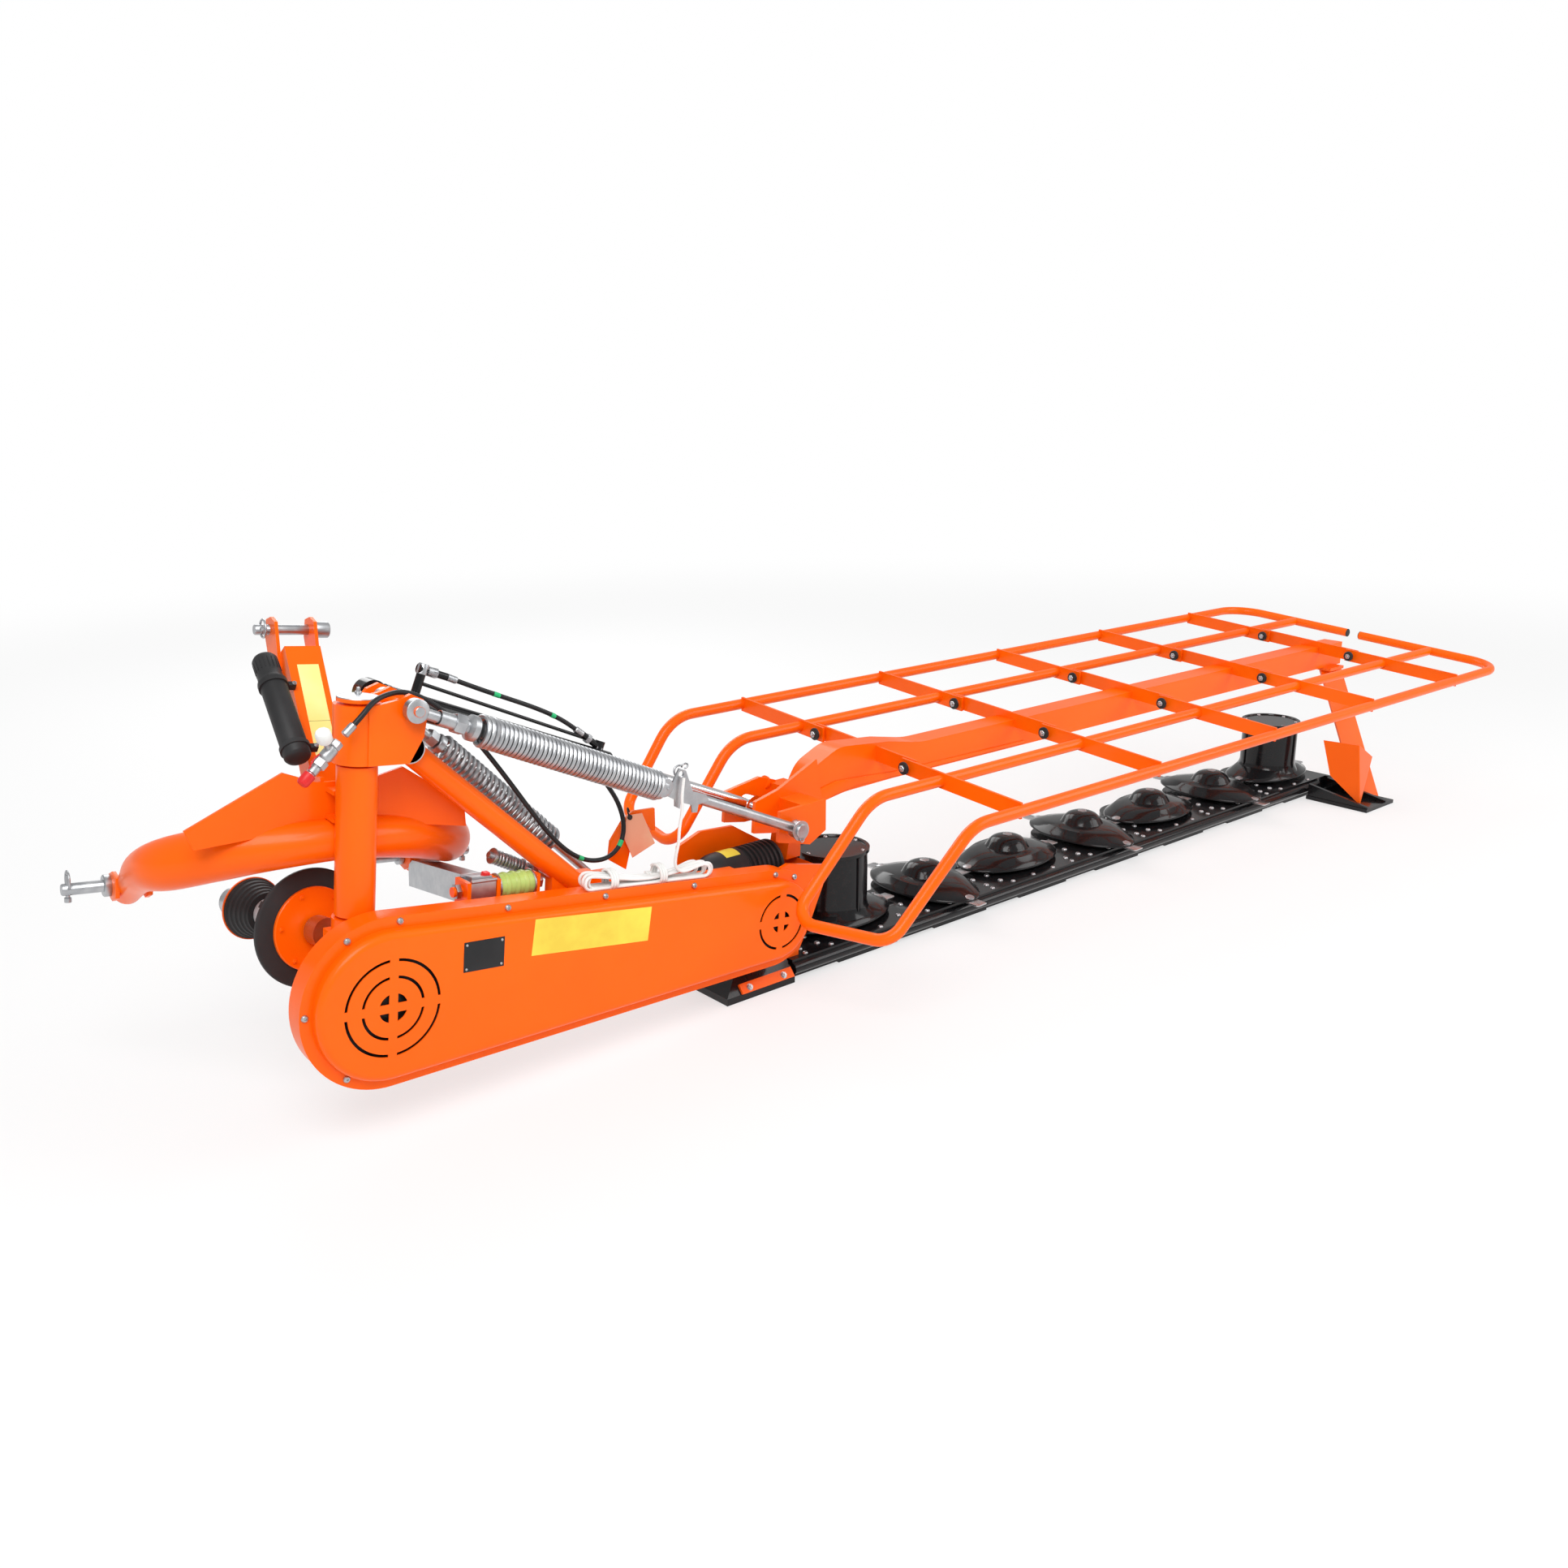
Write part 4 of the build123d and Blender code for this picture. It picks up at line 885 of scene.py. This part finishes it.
mast = {
    "foot": (0, 136, 330), "lean": (0, 0.5696, 0.8219), "depth": 32.2,
    "decal": (-22, 28, 128, 372), "seam": 228,
}


def addMastDecal(foot, lean, depth, decal, seam):
    lean = headstockWay(*lean)
    back = across.cross(lean).normalized()
    foot = headstock(*foot) + back * depth / 1000
    left, right, low, high = decal
    corners = patch(foot, across, lean, square(left, right, low, high))
    Shape().plate(corners, back * 0.5, 0).done("mastDecal", "paleYellow", "headstock")
    line = patch(foot + back * 0.0006, across, lean, square(left, right, seam, seam + 0.6))
    Shape().plate(line, back * 0.15, 0).done("mastDecalSeam", "sign", "headstock")


documentTube = {"foot": (-89, 111, 478), "top": (-89, 348, 664), "reach": 31, "straps": (0.1, 0.72)}


def addDocumentTube(foot, top, reach, straps):
    foot, top = headstock(*foot), headstock(*top)
    along = (top - foot).normalized()
    side = along.cross(across).normalized()
    span = (top - foot).length * 1000
    tube = Shape()
    tube.lathe([
        (0, 0), (20, 1), (27, 4), (reach - 1, 9), (reach - 1, span * 0.7), (reach + 2, span * 0.71),
        (reach + 2.5, span * 0.74), (reach + 1, span * 0.76), (reach - 2, span * 0.78),
        (reach - 3, span * 0.84), (reach - 2, span - 8), (reach - 6, span - 1), (0, span),
    ], foot, along, 48)
    for spoke in spokes(along, 18):  # grip ribs round the lid
        start = foot + along * (span * 0.85) / 1000 + spoke * (reach - 2.2) / 1000
        tube.tube([start, start + along * 0.03], 0.9, 6)
    screws = Shape()
    for share in straps:
        middle = foot + along * span * share / 1000
        strap = [(reach, 0), (reach + 2.6, 0.5), (reach + 2.6, 11.5), (reach, 12)]
        tube.lathe(strap, middle - along * 0.006, along, 48)
        tab = patch(middle + across * (reach + 1) / 1000, along, side, square(-6, 6, -9, 9))
        tube.plate(tab, across * 18, 1)
        screws.bolt(middle + across * 0.046 - side * 0.009, -side, 5)
    tube.done("documentTube", "plastic", "headstock", "document_tube")
    screws.done("documentScrews", "zinc", "headstock")


# The cross tube swells towards its shoulders and draws in at the hitch ends
crossTube = {
    "half": [(356, 505, 95, 33), (356, 420, 146, 38), (352, 338, 192, 50), (325, 246, 228, 60),
             (250, 168, 262, 60), (150, 108, 286, 54), (0, 66, 300, 46)],
    "ear": [(430, 150), (470, 156), (506, 140), (518, 112), (504, 90), (470, 84), (436, 100)],
    "earPlaces": (-320, -392, 320, 392),
}


def addCrossTube(half, ear, earPlaces):
    stations = [(-p, q, w, reach) for p, q, w, reach in half] + half[-2::-1]
    path = smoothPath([headstock(p, q, w) for p, q, w, _ in stations], 6)
    reaches = smoothPath([reach for *_, reach in stations], 6)
    tube = Shape()
    rings = []
    for index, (point, radius) in enumerate(zip(path, reaches)):
        along = heading(path, index)
        side = (postUp - along * postUp.dot(along)).normalized()
        rings.append(tube.ring(point, side, along.cross(side), radius / 1000, 40))
    tube.close(rings)
    tube.done("crossTube", "orange", "headstock", "crossbar", 60)
    plates = Shape()
    for p in earPlaces:
        plates.plate([headstock(p - 5, q, w) for q, w in ear], across * 10)
    plates.done("hitchEars", "orange", "headstock")


# Drive shaft shields: ribbed rubber cone, sleeve and ribbed collar
shaft = {"rear": (-47, 133, 76), "front": (-100, 400, 52), "cone": 104}


def folds(count, radius, grow, low, fold):  # 13 mm apart
    return [(radius + k * grow + out, low + k * 13 + up) for k in range(count) for out, up in fold]


def addShaft(rear, front, cone):
    rear, front = headstock(*rear), headstock(*front)
    along = (front - rear).normalized()
    span = (front - rear).length * 1000
    shield = Shape()
    ribs = folds(7, 131, -9.8, 13, ((0, 0), (-1, 5), (-8, 8), (-9, 12)))
    shield.lathe([
        (24, 0), (134, 0), (139, 3), (139, 9), (131, 13), *ribs, (62, cone - 1), (62, cone), (24, cone),
    ], rear, along, 72)
    for way in spokes(along, 3, 0.4):
        lug = patch(rear + along * 0.006 + way * 0.13, along.cross(way), way, square(-8, 8, -4, 7))
        shield.plate(lug, along * 14, 1.5)
    shield.done("shaftCone", "plastic", "headstock", "shaft_cone")
    flange = Shape()
    flange.lathe([(60, -10), (96, -10), (98, -8), (98, -2), (96, 0), (60, 0)], rear, along, 56)
    for way in spokes(along, 6):
        flange.bolt(rear - along * 0.01 + way * 0.084, -along, 6)
    flange.done("shaftFlange", "orange", "headstock")
    profile = [(23, cone - 2), (36, cone - 2), (36, span - 96), (38, span - 94), (38, span - 84),
               (36, span - 82), (36, span - 70), (23, span - 70)]
    Shape().lathe(profile, rear, along, 40).done("shaftSleeve", "grey", "headstock", "shaft_sleeve")
    ribs = folds(5, 50, 4.6, span - 72, ((0, 0), (1, 7), (4.5, 9), (4.6, 12.6)))
    profile = [(24, span - 74), (50, span - 74), *ribs, (75, span - 3), (75, span), (24, span)]
    Shape().lathe(profile, rear, along, 64).done("shaftCollar", "plastic", "headstock", "shaft_collar")
    profile = [(70, span - 5.5), (76, span - 5.5), (76, span - 0.5), (70, span - 0.5)]
    Shape().lathe(profile, rear, along, 64).done("shaftRing", "orange", "headstock")


addHitchPins(**hitch)
addMastDecal(**mast)
addDocumentTube(**documentTube)
addCrossTube(**crossTube)
addShaft(**shaft)
print("headstock dressed")


# Ends of the cylinder, the link and the springs, and the hook plate's ring
linkageEnds = {
    "pinEnds": ((-196, -1), (82, 1)), "gland": 31.5, "hole": (737, 46), "screw": (704, 2), "eye": (-706, 453),
}


def addLinkageEnds(pinEnds, gland, hole, screw, eye):
    pins = Shape()
    u, w = ears
    for y, side in pinEnds:
        out = ahead * side
        washer = [(12, 1), (21, 1), (22, 2), (22, 4), (20, 5), (12, 5)]
        pins.lathe(washer, carrier(u, y - side * 14, w), out, 28)
        pins.lathe([(12, -8), (12, -0.5), (10.5, 1.2), (0, 1.2)], carrier(u, y, w), out, 24)
        addSplitPin(pins, carrier(u, y - side * 5, w), out, carrierUp)
    pins.done("earPinEnds")
    rings = Shape()
    rings.lathe([(17, 0), (27, 0), (28, 1), (28, 7), (22, 9), (17, 9)], lift(662, 0, 0), liftOut, 6)
    rings.lathe([(30.1, 0), (gland, 1), (gland, 17), (30.1, 18)], lift(642, 0, 0), liftOut, 48)
    rings.lathe([(30.1, 0), (gland, 1), (gland, 13), (30.1, 14)], lift(30, 0, 0), liftOut, 48)
    rings.done("cylinderGland", "black", "lift_barrel")
    ports = Shape()
    swivel = [(9.2, 0), (12.4, 0.6), (12.8, 2), (12.8, 13), (9.2, 14)]
    for profile, at, way, sides in (
        ([(11, 0), (13, 1), (13, 24), (11.5, 26), (0, 26)], (108, 0, 76), liftUp, 24),
        ([(9.4, 0), (12, 1), (12, 30), (9.4, 32)], (112, 0, 88), liftOut, 24),
        ([(9.5, 0), (13.5, 0.6), (14, 2), (14, 11), (13.5, 12.5), (9.5, 13)], (652, 0, 22), liftUp, 6),
        (swivel, (132, 0, 88), liftOut, 6),
        (swivel, (604, 0, 48.7), lift(48, 0, -16) - lift(0, 0, 0), 6),
    ):
        ports.lathe(profile, lift(*at), way, sides)
    ports.done("portNuts", "zinc", "lift_barrel")
    hook = Shape()
    zero = link(0, 0, 0)
    at, turn = link(hole[0], -8, hole[1]), (link(0.6, 0, 1) - zero).normalized()
    addRing(hook, at + turn * 0.006, (link(0.3, 0.9, 0) - zero).normalized(), -turn, 15)
    addRing(hook, at + turn * 0.026, (link(1, 0.2, 0) - zero).normalized(), turn, 8, 2.4)
    x, z = screw
    hook.bolt(link(x, -22.2, z), backward, 11)
    hook.lathe([(24, 0), (25, 1), (25, 6), (20, 8), (14, 8)], link(x - 8, -22.2, z), backward, 36)
    hook.done("hookRing", "zinc", "relief_spring")
    x, z = eye
    ring = Shape()
    ring.lathe([(20, 0), (27, 0.5), (28, 2), (28, 6), (20, 7)], layout(x, -201, z), backward, 36)
    ring.lathe([(12, 0), (20, 1), (20, 10), (18, 12), (0, 12)], layout(x, -203, z), backward, 28)
    addSplitPin(ring, layout(x, -211, z), backward, upward)
    ring.done("reliefEyeRing", "zinc", "relief_tube")


# Latch: galvanised box, end plates and rings on the urethane spring, nuts and a red stop
latch = {
    "y": -92, "w": 160, "box": (-865, -799), "spring": (-787.5, -688.5), "nuts": ((-678, 13), (-894, 11)),
    "stop": [(-824, 186), (-806, 186), (-806, 200), (-820, 200)],
}


def addLatch(y, w, box, spring, nuts, stop):
    left, right = box
    case = Shape()
    for side in (-1, 1):
        case.wall(carrier, y + side * 25, square(left, right, w - 30, w + 26), ahead * 3 * side, 1)
        case.tube([carrier(u, y + side * 27, w + 27) for u in box], 4.2, 14)
    lid = [carrier(u, v, w + 22) for u, v in square(left, right, y - 25, y + 25)]
    case.plate(lid, carrierUp * 3, 0.8)
    case.done("latchBox")
    start, end = spring
    ends = Shape()
    for u in (start, end - 5):
        plate = [(12.2, 0), (31, 0), (32, 1), (32, 4), (31, 5), (12.2, 5)]
        ends.lathe(plate, carrier(u, y, w), carrierOut, 40)
    for u, edge in nuts:
        ends.lathe(nut(12, 19, edge, edge + 2), carrier(u, y, w), carrierOut, 6)
    ends.done("latchEnds")
    rings = Shape()
    for share in (0.25, 0.5, 0.75):
        ring = [(28.5, -7), (31.5, -4), (32.2, 0), (31.5, 4), (28.5, 7)]
        rings.lathe(ring, carrier(start + share * (end - start), y, w), carrierOut, 40)
    rings.done("urethaneRings", "urethane", "carrier")
    Shape().wall(carrier, y - 10, stop, ahead * 18, 2).done("latchStop", "red", "carrier")


# Gearbox cover: a dome that runs into a ribbed half, with a blank label on it
gearboxCover = {
    "ends": (-892, -628), "y": 18, "z": 290, "reach": 66, "foot": 256, "ribs": (-742, -634, 16),
    "label": (-812, -762, 62, 118),
}


def addGearboxCover(ends, y, z, reach, foot, ribs, label):
    def bent(stations, angles):
        shape = Shape()
        rows = []
        for x, radius in stations:
            spots = [(y + radius * cos(angle), max(foot, z + radius * sin(angle))) for angle in angles]
            rows.append(shape.row(layout(x, *spot) for spot in spots))
        return shape.sheet(rows)

    left, right = ends
    sink = asin((z - foot) / reach)
    stations = []
    for k in range(10):
        angle = k * pi / 18
        stations.append((left + reach * (1 - cos(angle)), reach * sin(max(k, 0.3) * pi / 18)))
    first, last, pitch = ribs
    stations += [(first - 34, reach), (first - 6, reach)]
    for x in range(first, last - 4, pitch):
        stations += [(x, reach - 7), (x + pitch * 0.45, reach - 7), (x + pitch * 0.55, reach)]
        stations.append((x + pitch * 0.92, reach))
    stations += [(right, reach - 1), (right, 2)]
    angles = [-sink + step * (pi + 2 * sink) / 32 for step in range(33)]
    bent(stations, angles).done("gearboxCover", "plastic", "cutter_bar", "gearbox_cover", 30)
    left, right, start, end = label
    angles = [radians(start + (end - start) * step / 12) for step in range(13)]
    film = bent([(x, reach + 0.4) for x in (left, (left + right) / 2, right)], angles)
    film.done("gearboxLabel", "yellow", "cutter_bar")
    screw = Shape().button(layout(-776, y - 62, z + 24), layout(0, -62, 24) - layout(0, 0, 0), 6)
    screw.done("gearboxScrew", "zinc", "cutter_bar")


# Tensioner: a small coil on its rod with a hex end, in place of the plain solid
tensioner = {
    "rod": ((-780, 226), (-560, 126)), "coil": ((-768, 220.5), (-690, 185)), "y": -44,
    "foot": [(-672, 108), (-650, 108), (-650, 176), (-656, 192), (-666, 192), (-672, 176)],
}


def addTensioner(rod, coil, y, foot):
    start, end, first, last = (carrier(u, y, w) for u, w in rod + coil)
    along = (end - start).normalized()
    shape = Shape()
    shape.tube([start, end], 8, 16)
    shape.coil(first, last, 16, 3.2, 9)
    shape.lathe([(8, -3), (20, -3), (20.5, -2), (20.5, 0), (8, 1)], first, along, 28)
    shape.lathe([(8, 0), (20, 0), (20.5, 1), (20.5, 3), (8, 4)], last, along, 28)
    for at in (last + along * 0.006, end - along * 0.012):
        shape.lathe(nut(8, 14, 9, 10.5), at, along, 6)
    shape.wall(carrier, y - 22, foot, ahead * 30, 2)
    shape.done("tensioner", "zinc", "carrier", "tensioner")


# Float lever: the curved hook plate over its foot, with the blank tag clipped to it
lever = {
    "outline": [(-1180, 414), (-1232, 452), (-1224, 500), (-1186, 546), (-1150, 566), (-1084, 561),
                (-1084, 500), (-1098, 502), (-1114, 532), (-1146, 546), (-1172, 520), (-1160, 480)],
    "y": -60, "sheet": 10,
    "tag": [(-1178, 562), (-1131, 559), (-1093, 469), (-1165, 445), (-1191, 508)],
    "clip": [(0, 0, 0), (-0.004, 0.002, 0.016), (0.002, 0.01, 0.022), (0.008, 0.012, 0.01)],
}


def addLever(outline, y, sheet, tag, clip):
    Shape().wall(layout, y, outline, ahead * sheet).done("floatHook", "orange", "carrier")
    Shape().wall(layout, y - 9, tag, ahead * 1.2, 0.3).done("blankTag", "tag", "carrier")
    top = layout(tag[0][0] + 8, y - 9, tag[0][1] - 6)
    wire = Shape().lathe([(6, -2), (7, -1), (7, 3), (5, 5), (0, 5)], top, backward, 20)
    wire.tube(smoothPath([top + Vector(offset) for offset in clip], 5), 2.2, 8)
    wire.done("tagClip", "plastic", "carrier")


# Boom: stiffener plate on its rear side, the spool bush on the bracket
boom = {
    "face": -28.2,
    "stiffener": [(-556, 418), (-540, 452), (-492, 486), (-414, 500), (-312, 494), (-176, 484), (40, 482),
                  (426, 479), (426, 470), (40, 470), (-176, 470), (-330, 472), (-420, 462), (-500, 438),
                  (-548, 404)],
    "spool": ((-520, 108, 468), (-575, 110, 495)),
}


def addBoomDress(face, stiffener, spool):
    Shape().wall(layout, face, stiffener, backward * 4, 1).done("boomStiffener", "orange", "cutter_bar")
    foot, tip = (layout(*spot) for spot in spool)
    span = (tip - foot).length * 1000
    bush = Shape().lathe([
        (24, -14), (24, 4), (16, 6), (15, span - 20), (16, span - 12), (21, span - 10), (22, span - 7),
        (22, span), (14, span), (13, span - 20), (0, span - 20),
    ], foot, tip - foot, 36)
    bush.done("spoolBush", "orange", "cutter_bar")


# Pulleys behind the guard's vents
pulleys = {"y": -236, "wheels": ((-1118, -30, 138), (0, 0, 88))}


def addPulleys(y, wheels):
    shape = Shape()
    for u, w, reach in wheels:
        profile = [(0, 0), (14, 0), (14, -4), (26, -4), (26, 2), (reach - 40, 8), (reach - 22, 8),
                   (reach - 16, 0), (reach, 0), (reach, 12), (0, 12)]
        shape.lathe(profile, carrier(u, y, w), ahead, 72)
    shape.done("pulleys", "casting", "carrier")


# Bolts of hinge box and skid bracket, and the caps of post and hoops
fasteners = {
    "box": [(-760, -146, 326), (-694, -146, 304)], "bracket": [(-870, -181, 33), (-748, -181, 33)],
    "slant": (0, -0.8, 0.6), "post": 633, "strut": (-1036, -140, 520),
    "hoops": (("front_hoop", 52, -1), ("rear_hoop", -5, 1)), "hoopEnd": 2640,
}


def addFasteners(box, bracket, slant, post, strut, hoops, hoopEnd):
    bolts = Shape()
    for spot in box:
        bolts.bolt(layout(*spot), backward, 5.5, washer=False)
    for spot in bracket:
        bolts.bolt(layout(*spot), Vector(slant), 9)
    bolts.done("boxBolts", "zinc", "cutter_bar")
    nipple = [(46, 0), (45, 2), (30, 5), (14, 7), (8, 8), (7, 12), (4.5, 13), (4.5, 18), (3.5, 21), (0, 22)]
    Shape().lathe(nipple, headstock(0, 0, post), postUp, 48).done("postCap", "zinc", "headstock")
    ring = [(31.2, 0), (34, 1), (34.5, 3), (34.5, 9), (31.2, 10)]
    Shape().lathe(ring, carrier(*strut), ahead, 40).done("strutRing", "grey", "carrier")
    for body, y, side in hoops:
        at = layout(hoopEnd, y, pivots["plane"] + pivots["slope"] * y)
        cap = Shape().lathe([(15, -0.5), (16.8, 0.5), (16.8, 1.5), (15, 3), (0, 3.4)], at, ahead * side, 28)
        cap.done(body + "Cap", "plastic", body)


addLinkageEnds(**linkageEnds)
addLatch(**latch)
addGearboxCover(**gearboxCover)
addTensioner(**tensioner)
addLever(**lever)
addBoomDress(**boom)
addPulleys(**pulleys)
addFasteners(**fasteners)
print("small parts added")
